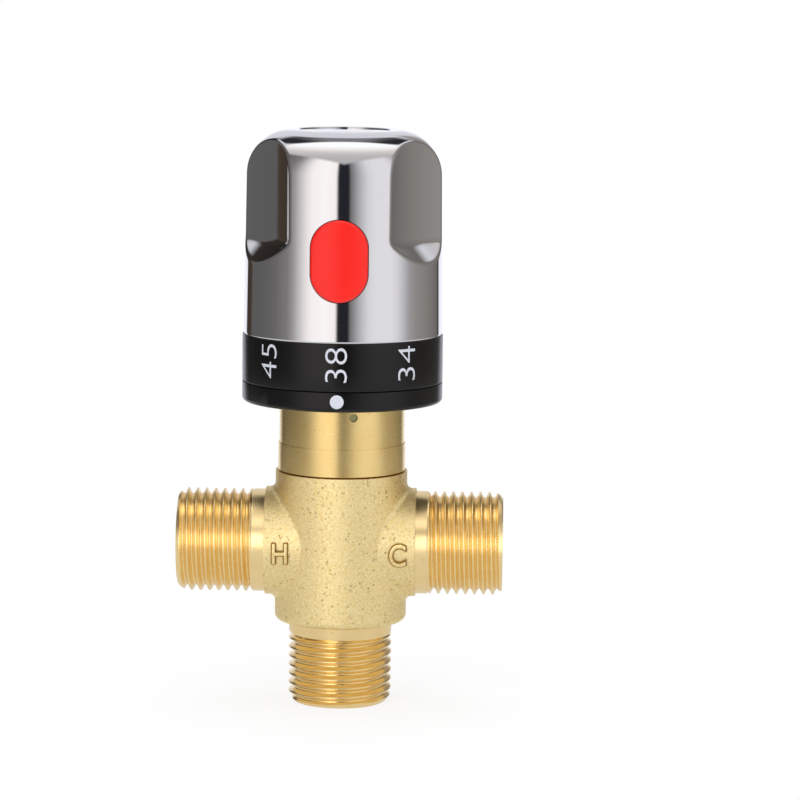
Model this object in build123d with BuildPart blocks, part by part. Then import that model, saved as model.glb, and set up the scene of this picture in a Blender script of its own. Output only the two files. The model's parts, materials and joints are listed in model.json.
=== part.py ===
from build123d import *
import os
from math import cos, pi, radians, sin, tan

os.makedirs("parts", exist_ok=True)

# Thermostatic mixing valve, in millimetres. The origin is the centre of the outlet's end face,
# +Z points up to the handle, the hot inlet is on -X, the cold inlet on +X and the front is -Y.

# Overall sizes. The outlet's thread takes up what the heights above it leave of the total.
total_height = 115.0
handle_turning_height = 50.0
handle_diameter = 40.0
inlet_span = 65.0

# G 1/2 pipe thread, drawn as a cylinder over its crests
thread_radius = 20.955 / 2
thread_end_radius = 9.4
thread_chamfer = 1.5
inlet_thread_length = 15.1

# Cast and machined outside of the valve body
body_radius = 13.2
body_height = 30.3
body_edge_radius = 1.2
boss_radius = 10.85
boss_fillet = 1.2
collar_radius = 10.3
collar_length = 2.35
inlet_axis_height = 15.8

# Waterways of the valve body
waterway_radius = 7.5
outlet_floor_height = 4.9
cartridge_bore_radius = 9.5
cartridge_thread_radius = 10.6
cartridge_thread_length = 4.4
inlet_floor_reach = 13.0
port_width = 9.0
port_height = 4.4
port_offset = 3.6

# Clearances: between fixed pieces, between sliding ones, and round a turning one
fixed_gap = 0.05
slide_gap = 0.05
turning_gap = 0.1
seat_gap = 0.03

# Spring wire: its section's sides, and how far its middle starts from the seat, in wire thicknesses
wire_sides = 6
wire_lift = 0.6

# Cartridge sleeve
flange_radius = 12.7
flange_height = 5.7
flange_chamfer = 0.3
sleeve_lip_height = 1.0
sleeve_lip_radius = 3.7
sleeve_notch_width = 2.4
sleeve_notch_reach = 4.9
sleeve_outlet_radius = 5.4
chamber_groove_radius = 8.0
window_count = 6
window_width = 5.0
window_height = 2.3
cut_margin = 1.0

# O-rings round the sleeve
sleeve_ring_section = 0.78
sleeve_ring_groove = 1.8
sleeve_ring_land = 1.4
ring_squeeze = 0.02
ring_sides = 8

# Spool, wax element and return spring
spool_radius = 6.5
spool_wall = 1.6
spool_stroke = 0.5
spool_web_height = 2.0
spool_spoke_width = 2.2
spool_spoke_count = 4
spool_spoke_angle = 45.0
spool_ring_section = 0.5
spool_ring_groove = 1.2
seat_distance = 10.2
element_radius = 3.0
element_flange_radius = 4.0
element_flange_height = 1.5
element_length = 10.5
spool_hub_radius = 3.9
element_neck_radius = 2.2
element_neck_height = 3.0
piston_radius = 1.0
piston_length = 6.4
return_spring_radius = 4.0
return_spring_wire = 0.8
return_spring_turns = 4

# Cartridge housing
housing_radius = 12.5
housing_neck_height = 8.45
housing_seat_radius = 10.0
housing_nose_radius = 7.0
housing_nose_gap = 0.1
hexagon_across = 10.0
spigot_radius = 11.6
spigot_spline_depth = 0.5
spigot_spline_count = 24
spigot_height = 5.0
gland_radius = 7.0
gland_height = 4.0
shoulder_depth = 2.0

# Adjusting nut, overload spring, its clip and the piston cup
nut_height = 11.0
nut_engagement = 3.5
nut_thread_height = 4.5
spring_chamber_radius = 3.6
clip_height = 0.7
clip_groove_depth = 0.4
clip_ledge = 0.4
cup_flange_height = 1.0
cup_boss_radius = 2.2
cup_boss_height = 1.6
overload_spring_radius = 3.1
overload_spring_wire = 0.8
overload_spring_turns = 3
cup_pocket_depth = 1.0

# Spindle
spindle_thread_radius = 3.0
spindle_thread_length = 7.5
spindle_flange_radius = 4.9
spindle_flange_height = 1.9
spindle_radius = 4.0
spindle_ring_section = 0.6
spindle_ring_groove = 1.4
spindle_ring_spacing = 3.2
spindle_ring_count = 2
spindle_clip_height = 0.7
spindle_clip_depth = 0.8
spindle_clip_width = 2.2
head_clearance = 4.0
spindle_spline_radius = 3.9
spindle_spline_length = 10.0
spline_count = 18
spline_depth = 0.35
spline_tooth = 0.65

# Handle screw
screw_radius = 2.05
screw_length = 10.0
screw_head_radius = 4.2
screw_head_height = 3.0
screw_head_edge = 0.8
screw_hole_gap = 0.25
screw_recess_across = 2.5
screw_recess_depth = 1.6

# Stop ring
stop_ring_height = 4.0
stop_ring_floor = 1.6
stop_ring_wall = 1.6
stop_ring_edge = 0.8
stop_tab_height = 2.4
stop_tab_width = 3.0

# Scale ring
scale_ring_height = 9.5
scale_ring_wall = 1.65
scale_ring_edge = 0.3

# Handle shell
shell_base_inset = 0.2
shell_top_inset = 0.6
shell_edge_radius = 9.0
shell_wall = 2.2
shell_top_wall = 3.0
shell_skirt_wall = 1.4
skirt_clearance = 1.0
hub_radius = 7.0
hub_floor = 2.0
well_radius = 5.0
rib_width = 1.6
rib_height = 17.0
front_angle = -90.0
scoop_count = 3
scoop_offset = 60.0
scoop_radius = 42.0
scoop_depth = 3.6
scoop_height = 21.5
scoop_floor_angle = 48.0
scoop_floor_fillet = 1.0
scoop_edge = 0.5

# Top cap
cap_radius = 8.9
cap_gap = 0.1
cap_recess_depth = 1.5
cap_sunk = 0.45
cap_plug_height = 3.0
cap_plug_wall = 1.0
cap_edge = 0.3

# Stop button
button_width = 11.2
button_height = 16.0
button_centre_drop = 24.5
button_proud = 0.85
button_edge = 0.7
button_gap = 0.15
button_flange = 1.0
button_plate = 2.0
button_travel = 1.5
button_inner_gap = 0.25
finger_width = 5.0
finger_gap = 0.3
button_spring_radius = 2.4
button_spring_wire = 0.5
button_spring_length = 5.2
button_spring_turns = 3
button_pad = 0.5
spring_seat_radius = 3.7
spring_pocket_depth = 0.8
button_peg_radius = 1.8
button_peg_length = 1.5

# Check valve and strainer of each inlet
check_length = 10.0
check_wall = 1.4
check_guide_inset = 1.8
check_guide_height = 1.2
check_guide_radius = 2.2
check_spoke_width = 1.4
check_spoke_count = 3
check_spoke_angle = 90.0
check_seat_height = 1.1
check_seat_radius = 4.2
poppet_radius = 5.3
poppet_height = 1.0
poppet_stem_radius = 1.0
poppet_seal_height = 0.8
poppet_seal_width = 1.5
poppet_boss_gap = 0.1
check_spring_radius = 2.0
check_spring_wire = 0.5
check_spring_turns = 3
stem_inset = 0.1
strainer_length = 4.0
strainer_rim_height = 0.8
strainer_radius = 5.6
strainer_wall = 0.5
strainer_slot_count = 8
strainer_slot_width = 1.6
strainer_slot_inset = 0.6
strainer_hole_radius = 0.9
strainer_hole_circle = 3.2
strainer_hole_count = 6

# Heights worked out from the sizes above
handle_base_z = total_height - handle_turning_height
stop_ring_base_z = handle_base_z - stop_ring_height
stop_ring_top_z = handle_base_z - turning_gap
flange_top_z = stop_ring_base_z - housing_neck_height
body_top_z = flange_top_z - flange_height
body_bottom_z = body_top_z - body_height
outlet_thread_length = body_bottom_z - collar_length
inlet_axis_z = body_bottom_z + inlet_axis_height
sleeve_bottom_z = body_bottom_z + outlet_floor_height
shell_base_z = handle_base_z + scale_ring_height
hot_port_z = inlet_axis_z - port_offset
cold_port_z = inlet_axis_z + port_offset
hot_seat_z = inlet_axis_z - seat_distance / 2
cold_seat_z = inlet_axis_z + seat_distance / 2
inlet_reach = inlet_span / 2
boss_reach = inlet_reach - inlet_thread_length - collar_length

# Radii worked out from the sizes above
handle_radius = handle_diameter / 2
sleeve_radius = cartridge_bore_radius - fixed_gap
spool_bore_radius = spool_radius + slide_gap
nose_bore_radius = housing_nose_radius + fixed_gap
housing_bore_radius = housing_seat_radius + fixed_gap
spindle_bore_radius = spindle_radius + slide_gap
stop_ring_inner_radius = handle_radius - stop_ring_wall
scale_ring_inner_radius = handle_radius - scale_ring_wall
skirt_radius = scale_ring_inner_radius - fixed_gap
skirt_inner_radius = skirt_radius - shell_skirt_wall
shell_face_radius = handle_radius - (shell_base_inset + shell_top_inset) / 2
scoop_centre = handle_radius - shell_top_inset - scoop_depth + scoop_radius

inlet_plane = Plane(origin=(0, 0, inlet_axis_z), x_dir=(1, 0, 0), z_dir=(0, -1, 0))
inlet_axis = Axis((0, 0, inlet_axis_z), (1, 0, 0))


def turned(*profile):
    """A turned solid: the half profile, as (radius, height) points, revolved about the Z axis."""
    with BuildPart() as piece:
        with BuildSketch(Plane.XZ):
            with BuildLine():
                Polyline(*profile, close=True)
            make_face()
        revolve(axis=Axis.Z)
    return piece.part


def o_ring(centre_radius, section_radius, height):
    """A moulded ring at one height on the Z axis. Its round section is drawn with a few flats."""
    with BuildPart() as ring:
        with BuildSketch(Plane.XZ):
            with Locations((centre_radius, height)):
                RegularPolygon(section_radius, ring_sides, major_radius=False, rotation=180 / ring_sides)
        revolve(axis=Axis.Z)
    return ring.part


def coil_spring(plane, centre_radius, wire, length, turns):
    """A compression spring that stands on a plane, its wire touching the plane and the far face."""
    rise = length - 2 * wire_lift * wire
    start = plane.offset(wire_lift * wire)
    with BuildPart() as spring:
        with BuildLine():
            path = Helix(rise / turns, rise, centre_radius, center=start.origin, direction=start.z_dir)
        with BuildSketch(Plane(origin=path @ 0, z_dir=path % 0)):
            RegularPolygon(wire / 2, wire_sides)
        sweep(path=path, is_frenet=True)
    return spring.part


# Valve body: one casting, with its three threaded ends turned afterwards
with BuildPart() as valve_body:
    with BuildSketch(Plane.XZ):
        with BuildLine():
            Polyline(
                (0, 0),
                (thread_end_radius, 0),
                (thread_radius, thread_chamfer),
                (thread_radius, outlet_thread_length),
                (collar_radius, outlet_thread_length),
                (collar_radius, body_bottom_z),
                (body_radius, body_bottom_z),
                (body_radius, body_top_z),
                (0, body_top_z),
                close=True,
            )
        make_face()
    revolve(axis=Axis.Z)
    with BuildSketch(inlet_plane):
        with BuildLine():
            Polyline(
                (0, 0),
                (inlet_reach, 0),
                (inlet_reach, thread_end_radius),
                (inlet_reach - thread_chamfer, thread_radius),
                (inlet_reach - inlet_thread_length, thread_radius),
                (inlet_reach - inlet_thread_length, collar_radius),
                (boss_reach, collar_radius),
                (boss_reach, boss_radius),
                (0, boss_radius),
                close=True,
            )
        make_face()
        mirror(about=Plane.YZ)
    revolve(axis=inlet_axis)
    crossings = valve_body.edges().filter_by(GeomType.BSPLINE)
    fillet(crossings, boss_fillet)
    body_rims = valve_body.edges().filter_by(GeomType.CIRCLE).group_by(SortBy.RADIUS)[-1]
    fillet(body_rims.group_by(Axis.Z)[0], body_edge_radius)
    # Outlet waterway, cartridge bore and the thread that holds the sleeve
    with BuildSketch(Plane.XZ):
        with BuildLine():
            Polyline(
                (0, 0),
                (waterway_radius, 0),
                (waterway_radius, sleeve_bottom_z),
                (cartridge_bore_radius, sleeve_bottom_z),
                (cartridge_bore_radius, body_top_z - cartridge_thread_length),
                (cartridge_thread_radius, body_top_z - cartridge_thread_length),
                (cartridge_thread_radius, body_top_z),
                (0, body_top_z),
                close=True,
            )
        make_face()
    revolve(axis=Axis.Z, mode=Mode.SUBTRACT)
    # Inlet waterways, each with a slot into the cartridge bore: low for hot, high for cold
    for side, port_z in ((-1, hot_port_z), (1, cold_port_z)):
        waterway_plane = Plane(origin=(side * inlet_reach, 0, inlet_axis_z), z_dir=(-side, 0, 0))
        with BuildSketch(waterway_plane):
            Circle(waterway_radius)
        extrude(amount=inlet_reach - inlet_floor_reach, mode=Mode.SUBTRACT)
        with BuildSketch(Plane(origin=(0, 0, port_z), x_dir=(0, 1, 0), z_dir=(side, 0, 0))):
            Rectangle(port_width, port_height)
        extrude(amount=inlet_floor_reach, mode=Mode.SUBTRACT)
valve_body.part.label = "valve_body"
export_step(valve_body.part, "parts/valve_body.step")

# Cartridge sleeve: screwed into the body, with a chamber groove and windows for each inlet
sleeve_thread_bottom_z = body_top_z - cartridge_thread_length + fixed_gap
window_base_z = (hot_seat_z, cold_seat_z - window_height)
sleeve_ring_z = (
    hot_port_z - port_height / 2 - sleeve_ring_groove / 2 - sleeve_ring_land,
    inlet_axis_z,
    cold_port_z + port_height / 2 + sleeve_ring_groove / 2 + sleeve_ring_land,
)
sleeve_ring_floor = cartridge_bore_radius - 2 * sleeve_ring_section - 2 * ring_squeeze
with BuildPart() as cartridge_sleeve:
    with BuildSketch(Plane.XZ):
        with BuildLine():
            Polyline(
                (sleeve_lip_radius, sleeve_bottom_z),
                (sleeve_radius, sleeve_bottom_z),
                (sleeve_radius, sleeve_thread_bottom_z),
                (cartridge_thread_radius - fixed_gap, sleeve_thread_bottom_z),
                (cartridge_thread_radius - fixed_gap, body_top_z),
                (flange_radius - flange_chamfer, body_top_z),
                (flange_radius, body_top_z + flange_chamfer),
                (flange_radius, flange_top_z),
                (housing_bore_radius, flange_top_z),
                (housing_bore_radius, body_top_z + housing_nose_gap),
                (nose_bore_radius, body_top_z + housing_nose_gap),
                (nose_bore_radius, cold_seat_z),
                (spool_bore_radius, cold_seat_z),
                (spool_bore_radius, hot_seat_z),
                (sleeve_outlet_radius, hot_seat_z),
                (sleeve_outlet_radius, sleeve_bottom_z + sleeve_lip_height),
                (sleeve_lip_radius, sleeve_bottom_z + sleeve_lip_height),
                close=True,
            )
        make_face()
    revolve(axis=Axis.Z)
    # Chamber grooves opposite the two ports
    for port_z in (hot_port_z, cold_port_z):
        with BuildSketch(Plane.XY.offset(port_z - port_height / 2)):
            Circle(sleeve_radius)
            Circle(chamber_groove_radius, mode=Mode.SUBTRACT)
        extrude(amount=port_height, mode=Mode.SUBTRACT)
    # O-ring grooves below, between and above them
    for ring_z in sleeve_ring_z:
        with BuildSketch(Plane.XY.offset(ring_z - sleeve_ring_groove / 2)):
            Circle(sleeve_radius)
            Circle(sleeve_ring_floor, mode=Mode.SUBTRACT)
        extrude(amount=sleeve_ring_groove, mode=Mode.SUBTRACT)
    # Windows at the two seats
    for base_z in window_base_z:
        with BuildSketch(Plane.XY.offset(base_z)):
            with PolarLocations((chamber_groove_radius + spool_radius) / 2, window_count):
                Rectangle(chamber_groove_radius - spool_radius + cut_margin, window_width)
        extrude(amount=window_height, mode=Mode.SUBTRACT)
    # Notches that let the mixed water leave round the return spring
    with BuildSketch(Plane.XY.offset(sleeve_bottom_z)):
        with PolarLocations((sleeve_lip_radius + sleeve_notch_reach) / 2, spool_spoke_count):
            Rectangle(sleeve_notch_reach - sleeve_lip_radius + cut_margin, sleeve_notch_width)
    extrude(amount=sleeve_lip_height, mode=Mode.SUBTRACT)
cartridge_sleeve.part.label = "cartridge_sleeve"
export_step(cartridge_sleeve.part, "parts/cartridge_sleeve.step")

# O-rings that part the hot, cold and mixed water
sleeve_ring_radius = cartridge_bore_radius - sleeve_ring_section - ring_squeeze
for name, ring_z in zip(("lower_o_ring", "separator_o_ring", "upper_o_ring"), sleeve_ring_z):
    ring = o_ring(sleeve_ring_radius, sleeve_ring_section, ring_z)
    ring.label = name
    export_step(ring, f"parts/{name}.step")

# Cartridge housing: its nose is the cold seat, its hexagonal bore guides the nut
spindle_shoulder_z = stop_ring_base_z - shoulder_depth
spigot_top_z = stop_ring_base_z + spigot_height
housing_top_z = spigot_top_z + gland_height
hexagon_bore_across = hexagon_across + 2 * slide_gap
with BuildPart() as cartridge_housing:
    add(
        turned(
            (0, cold_seat_z),
            (housing_nose_radius, cold_seat_z),
            (housing_nose_radius, body_top_z + 2 * housing_nose_gap),
            (housing_seat_radius, body_top_z + 2 * housing_nose_gap),
            (housing_seat_radius, flange_top_z),
            (housing_radius, flange_top_z),
            (housing_radius, stop_ring_base_z),
            (spigot_radius - spigot_spline_depth, stop_ring_base_z),
            (spigot_radius - spigot_spline_depth, spigot_top_z),
            (gland_radius, spigot_top_z),
            (gland_radius, housing_top_z),
            (0, housing_top_z),
        )
    )
    # Spline that fixes the stop ring at its setting
    with BuildSketch(Plane.XY.offset(stop_ring_base_z)):
        with PolarLocations(spigot_radius - spigot_spline_depth, spigot_spline_count):
            Rectangle(2 * spigot_spline_depth, pi * spigot_radius / spigot_spline_count)
        Circle(spigot_radius, mode=Mode.INTERSECT)
    extrude(amount=spigot_height)
    with BuildSketch(Plane.XY.offset(cold_seat_z)):
        RegularPolygon(hexagon_bore_across / 2, 6, major_radius=False)
    extrude(amount=spindle_shoulder_z - cold_seat_z, mode=Mode.SUBTRACT)
    with BuildSketch(Plane.XY.offset(spindle_shoulder_z)):
        Circle(spindle_bore_radius)
    extrude(amount=housing_top_z - spindle_shoulder_z, mode=Mode.SUBTRACT)
cartridge_housing.part.label = "cartridge_housing"
export_step(cartridge_housing.part, "parts/cartridge_housing.step")

# Stop ring: seated on the housing's shoulder, with the tab that stops the button's finger
carrier_radius = skirt_inner_radius - button_inner_gap
carrier_inner_radius = carrier_radius - button_plate
stop_floor_top_z = stop_ring_base_z + stop_ring_floor
stop_tab_top_z = stop_floor_top_z + stop_tab_height
stop_tab_x = finger_width / 2 + finger_gap + stop_tab_width / 2
with BuildPart() as stop_ring:
    with BuildSketch(Plane.XY.offset(stop_ring_base_z)):
        Circle(handle_radius)
    extrude(amount=stop_ring_top_z - stop_ring_base_z)
    fillet(stop_ring.edges().group_by(Axis.Z)[0], stop_ring_edge)
    with BuildSketch(Plane.XY.offset(stop_floor_top_z)):
        Circle(stop_ring_inner_radius)
    extrude(amount=stop_ring_top_z - stop_floor_top_z, mode=Mode.SUBTRACT)
    with BuildSketch(Plane.XY.offset(stop_floor_top_z)):
        with Locations((stop_tab_x, -handle_radius / 2)):
            Rectangle(stop_tab_width, handle_radius)
        Circle(carrier_radius, mode=Mode.INTERSECT)
        Circle(carrier_inner_radius, mode=Mode.SUBTRACT)
    extrude(amount=stop_tab_height)
    with BuildSketch(Plane.XY.offset(stop_ring_base_z)):
        Circle(spigot_radius - spigot_spline_depth + fixed_gap)
        with PolarLocations(spigot_radius - spigot_spline_depth + fixed_gap, spigot_spline_count):
            Rectangle(2 * spigot_spline_depth, pi * spigot_radius / spigot_spline_count + 2 * fixed_gap)
    extrude(amount=stop_ring_floor, mode=Mode.SUBTRACT)
stop_ring.part.label = "stop_ring"
export_step(stop_ring.part, "parts/stop_ring.step")

# Scale ring: pushed over the skirt of the handle shell
with BuildPart() as scale_ring:
    with BuildSketch(Plane.XY.offset(handle_base_z)):
        Circle(handle_radius)
        Circle(scale_ring_inner_radius, mode=Mode.SUBTRACT)
    extrude(amount=scale_ring_height)
    outer_edges = scale_ring.edges().filter_by(GeomType.CIRCLE).sort_by(SortBy.RADIUS)[-2:]
    chamfer(outer_edges, scale_ring_edge)
scale_ring.part.label = "scale_ring"
export_step(scale_ring.part, "parts/scale_ring.step")

# Finger scoops: each is part of an upright cylinder with a cone for its sloping floor
scoop_floor_z = total_height - scoop_height
scoop_run = scoop_radius / 2
scoop_drop = scoop_run * tan(radians(scoop_floor_angle))
scoop_top_z = total_height + scoop_run


def scoop_cutters(wall):
    """The bodies that cut the scoops, grown by a wall thickness for the hollow inside."""
    radius = scoop_radius + wall
    floor_z = scoop_floor_z - wall / 2
    with BuildPart() as cutters:
        for i in range(scoop_count):
            angle = radians(front_angle + scoop_offset + i * 360 / scoop_count)
            outward = Vector(cos(angle), sin(angle), 0)
            side = Plane(origin=outward * scoop_centre, x_dir=-outward, z_dir=outward.rotate(Axis.Z, 90))
            with BuildSketch(side):
                with BuildLine():
                    Polyline(
                        (0, floor_z - scoop_drop),
                        (radius - scoop_run, floor_z - scoop_drop),
                        (radius, floor_z),
                        (radius, scoop_top_z),
                        (0, scoop_top_z),
                        close=True,
                    )
                make_face()
                fillet(vertices().group_by(Axis.X)[-1].sort_by(Axis.Y)[0], scoop_floor_fillet)
            revolve(axis=Axis(side.origin, (0, 0, 1)))
    return cutters.part


# Hollow of the handle shell: it follows the outside and the scoops, and leaves the hub,
# a rib to each scoop and the seat of the button's spring standing
button_z = total_height - button_centre_drop
front_plane = Plane(origin=(0, 0, button_z), x_dir=(1, 0, 0), z_dir=(0, -1, 0))
skirt_base_z = handle_base_z + skirt_clearance
shell_base_radius = handle_radius - shell_base_inset
shell_top_radius = handle_radius - shell_top_inset
shell_edge_z = total_height - shell_edge_radius
crown_radius = shell_top_radius - shell_edge_radius
cavity_top_z = total_height - shell_top_wall
cavity_edge_radius = skirt_inner_radius - crown_radius
spline_base_z = housing_top_z + head_clearance
spindle_top_z = spline_base_z + spindle_spline_length
screw_seat_z = spindle_top_z + hub_floor
spring_seat_y = carrier_inner_radius - button_pad - button_spring_length
with BuildPart() as handle_hollow:
    with BuildSketch(Plane.XZ):
        with BuildLine():
            Polyline((crown_radius, cavity_top_z), (0, cavity_top_z), (0, skirt_base_z))
            Polyline(
                (0, skirt_base_z),
                (skirt_inner_radius, skirt_base_z),
                (skirt_inner_radius, cavity_top_z - cavity_edge_radius),
            )
            CenterArc((crown_radius, cavity_top_z - cavity_edge_radius), cavity_edge_radius, 0, 90)
        make_face()
    revolve(axis=Axis.Z)
    add(scoop_cutters(shell_wall), mode=Mode.SUBTRACT)
    with BuildSketch(Plane.XY.offset(spline_base_z)):
        Circle(hub_radius)
    extrude(amount=cavity_top_z - spline_base_z, mode=Mode.SUBTRACT)
    with BuildSketch(Plane.XY.offset(cavity_top_z - rib_height)):
        with PolarLocations(handle_radius / 2, scoop_count, start_angle=front_angle + scoop_offset):
            Rectangle(handle_radius, rib_width)
    extrude(amount=rib_height, mode=Mode.SUBTRACT)
    with BuildSketch(front_plane):
        Circle(spring_seat_radius)
    extrude(amount=spring_seat_y, mode=Mode.SUBTRACT)

# Handle shell: moulded in one piece with its hub, then plated. It is turned from a section drawn
# at the front, so that its seam stays clear of the rounded edges of the scoops.
front_section = Plane(origin=(0, 0, 0), x_dir=(0, -1, 0), z_dir=(-1, 0, 0))
with BuildPart() as handle_shell:
    with BuildSketch(front_section):
        with BuildLine():
            Polyline(
                (crown_radius, total_height),
                (0, total_height),
                (0, skirt_base_z),
                (skirt_radius, skirt_base_z),
                (skirt_radius, shell_base_z),
                (shell_base_radius, shell_base_z),
                (shell_top_radius, shell_edge_z),
            )
            CenterArc((crown_radius, shell_edge_z), shell_edge_radius, 0, 90)
        make_face()
    revolve(axis=Axis.Z)
    add(scoop_cutters(0), mode=Mode.SUBTRACT)
    fillet(handle_shell.edges().filter_by(GeomType.BSPLINE), scoop_edge)
    add(handle_hollow.part, mode=Mode.SUBTRACT)
    # Recess for the cap and the well of the handle screw
    with BuildSketch(Plane.XY.offset(total_height)):
        Circle(cap_radius + cap_gap)
    extrude(amount=-cap_recess_depth, mode=Mode.SUBTRACT)
    with BuildSketch(Plane.XY.offset(screw_seat_z)):
        Circle(well_radius)
    extrude(amount=total_height - screw_seat_z, mode=Mode.SUBTRACT)
    with BuildSketch(Plane.XY.offset(spindle_top_z)):
        Circle(screw_radius + screw_hole_gap)
    extrude(amount=hub_floor, mode=Mode.SUBTRACT)
    # Splined socket for the spindle
    with BuildSketch(Plane.XY.offset(spline_base_z)):
        Circle(spindle_spline_radius - spline_depth + fixed_gap)
        with PolarLocations(spindle_spline_radius - spline_depth, spline_count):
            Rectangle(2 * (spline_depth + fixed_gap), spline_tooth + 2 * fixed_gap)
    extrude(amount=spindle_spline_length, mode=Mode.SUBTRACT)
    # Window of the stop button and the pocket of its spring
    with BuildSketch(front_plane.offset(carrier_inner_radius - button_travel)):
        SlotOverall(button_height + 2 * button_gap, button_width + 2 * button_gap, rotation=90)
    extrude(amount=handle_radius, mode=Mode.SUBTRACT)
    with BuildSketch(front_plane.offset(spring_seat_y)):
        Circle(button_spring_radius + button_spring_wire)
    extrude(amount=-spring_pocket_depth, mode=Mode.SUBTRACT)
handle_shell.part.label = "handle_shell"
export_step(handle_shell.part, "parts/handle_shell.step")

# Top cap: a disc that sits a little below the rim of its recess, with a plug in the well
cap_seat_z = total_height - cap_recess_depth
cap_top_z = total_height - cap_sunk
plug_radius = well_radius - cap_gap
top_cap = turned(
    (0, cap_seat_z),
    (plug_radius - cap_plug_wall, cap_seat_z),
    (plug_radius - cap_plug_wall, cap_seat_z - cap_plug_height),
    (plug_radius, cap_seat_z - cap_plug_height),
    (plug_radius, cap_seat_z),
    (cap_radius, cap_seat_z),
    (cap_radius, cap_top_z - cap_edge),
    (cap_radius - cap_edge, cap_top_z),
    (0, cap_top_z),
)
top_cap.label = "top_cap"
export_step(top_cap, "parts/top_cap.step")

# Handle screw, seated on the hub's floor
with BuildPart() as handle_screw:
    with BuildSketch(Plane.XY.offset(screw_seat_z)):
        Circle(screw_head_radius)
    extrude(amount=screw_head_height)
    chamfer(handle_screw.edges().group_by(Axis.Z)[-1], screw_head_edge)
    with BuildSketch(Plane.XY.offset(screw_seat_z)):
        Circle(screw_radius)
    extrude(amount=-screw_length)
    with BuildSketch(Plane.XY.offset(screw_seat_z + screw_head_height)):
        RegularPolygon(screw_recess_across / 2, 6, major_radius=False)
    extrude(amount=-screw_recess_depth, mode=Mode.SUBTRACT)
handle_screw.part.label = "handle_screw"
export_step(handle_screw.part, "parts/handle_screw.step")

# Spindle: left-hand thread below, thrust flange, two O-ring grooves, clip groove, splined head
flange_face_z = spindle_shoulder_z - turning_gap
thread_top_z = flange_face_z - spindle_flange_height
thread_end_z = thread_top_z - spindle_thread_length
clip_base_z = housing_top_z + turning_gap
ring_floor = spindle_bore_radius - 2 * spindle_ring_section - 2 * ring_squeeze
spindle_ring_z = [spindle_shoulder_z + spindle_ring_spacing * (i + 1) for i in range(spindle_ring_count)]
with BuildPart() as spindle:
    add(
        turned(
            (0, thread_end_z),
            (spindle_thread_radius, thread_end_z),
            (spindle_thread_radius, thread_top_z),
            (spindle_flange_radius, thread_top_z),
            (spindle_flange_radius, flange_face_z),
            (spindle_radius, flange_face_z),
            (spindle_radius, spline_base_z),
            (spindle_spline_radius - spline_depth, spline_base_z),
            (spindle_spline_radius - spline_depth, spindle_top_z),
            (0, spindle_top_z),
        )
    )
    for ring_z in spindle_ring_z:
        with BuildSketch(Plane.XY.offset(ring_z - spindle_ring_groove / 2)):
            Circle(spindle_radius)
            Circle(ring_floor, mode=Mode.SUBTRACT)
        extrude(amount=spindle_ring_groove, mode=Mode.SUBTRACT)
    with BuildSketch(Plane.XY.offset(clip_base_z - fixed_gap)):
        Circle(spindle_radius)
        Circle(spindle_radius - spindle_clip_depth, mode=Mode.SUBTRACT)
    extrude(amount=spindle_clip_height + 2 * fixed_gap, mode=Mode.SUBTRACT)
    with BuildSketch(Plane.XY.offset(spline_base_z)):
        with PolarLocations(spindle_spline_radius - spline_depth, spline_count):
            Rectangle(2 * spline_depth, spline_tooth)
    extrude(amount=spindle_spline_length)
    with BuildSketch(Plane.XY.offset(spindle_top_z)):
        Circle(screw_radius + fixed_gap)
    extrude(amount=-screw_length, mode=Mode.SUBTRACT)
spindle.part.label = "spindle"
export_step(spindle.part, "parts/spindle.step")

spindle_ring_radius = spindle_bore_radius - spindle_ring_section - ring_squeeze
spindle_o_rings = Compound(
    children=[o_ring(spindle_ring_radius, spindle_ring_section, ring_z) for ring_z in spindle_ring_z]
)
spindle_o_rings.label = "spindle_o_rings"
export_step(spindle_o_rings, "parts/spindle_o_rings.step")

# Clip that keeps the spindle from being pushed down into the housing
with BuildPart() as spindle_clip:
    with BuildSketch(Plane.XY.offset(clip_base_z)):
        Circle(spindle_radius - spindle_clip_depth + spindle_clip_width)
        Circle(spindle_radius - spindle_clip_depth + fixed_gap, mode=Mode.SUBTRACT)
        with Locations((spindle_radius, 0)):
            Rectangle(2 * spindle_clip_width, spindle_radius, mode=Mode.SUBTRACT)
    extrude(amount=spindle_clip_height)
spindle_clip.part.label = "spindle_clip"
export_step(spindle_clip.part, "parts/spindle_clip.step")

# Stop button: a carrier that follows the inside of the shell, with the face outside and the finger below
finger_bottom_z = stop_tab_top_z + finger_gap
with BuildPart() as button_carrier:
    with BuildSketch(front_plane):
        SlotOverall(button_height + 2 * button_flange, button_width + 2 * button_flange, rotation=90)
        with Locations((0, (finger_bottom_z - button_z) / 2)):
            Rectangle(finger_width, button_z - finger_bottom_z)
    extrude(amount=handle_radius)
    with BuildSketch(Plane.XY.offset(finger_bottom_z)):
        Circle(carrier_radius)
        Circle(carrier_inner_radius, mode=Mode.SUBTRACT)
    extrude(amount=total_height - finger_bottom_z, mode=Mode.INTERSECT)
with BuildPart() as stop_button:
    with BuildSketch(front_plane.offset(carrier_inner_radius + button_plate / 4)):
        SlotOverall(button_height, button_width, rotation=90)
    extrude(amount=handle_radius)
    with BuildSketch(Plane.XY.offset(skirt_base_z)):
        Circle(shell_face_radius + button_proud)
    extrude(amount=handle_turning_height, mode=Mode.INTERSECT)
    face_edges = stop_button.faces().filter_by(GeomType.CYLINDER).sort_by(Axis.Y)[0].edges()
    fillet(face_edges, button_edge)
    add(button_carrier.part)
    # Pad and peg for the spring
    with BuildSketch(front_plane.offset(carrier_inner_radius - button_pad)):
        Circle(button_spring_radius + button_spring_wire)
    extrude(amount=button_pad + button_plate / 2)
    with BuildSketch(front_plane.offset(carrier_inner_radius - button_pad - button_peg_length)):
        Circle(button_peg_radius)
    extrude(amount=button_peg_length)
stop_button.part.label = "stop_button"
export_step(stop_button.part, "parts/stop_button.step")

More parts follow.
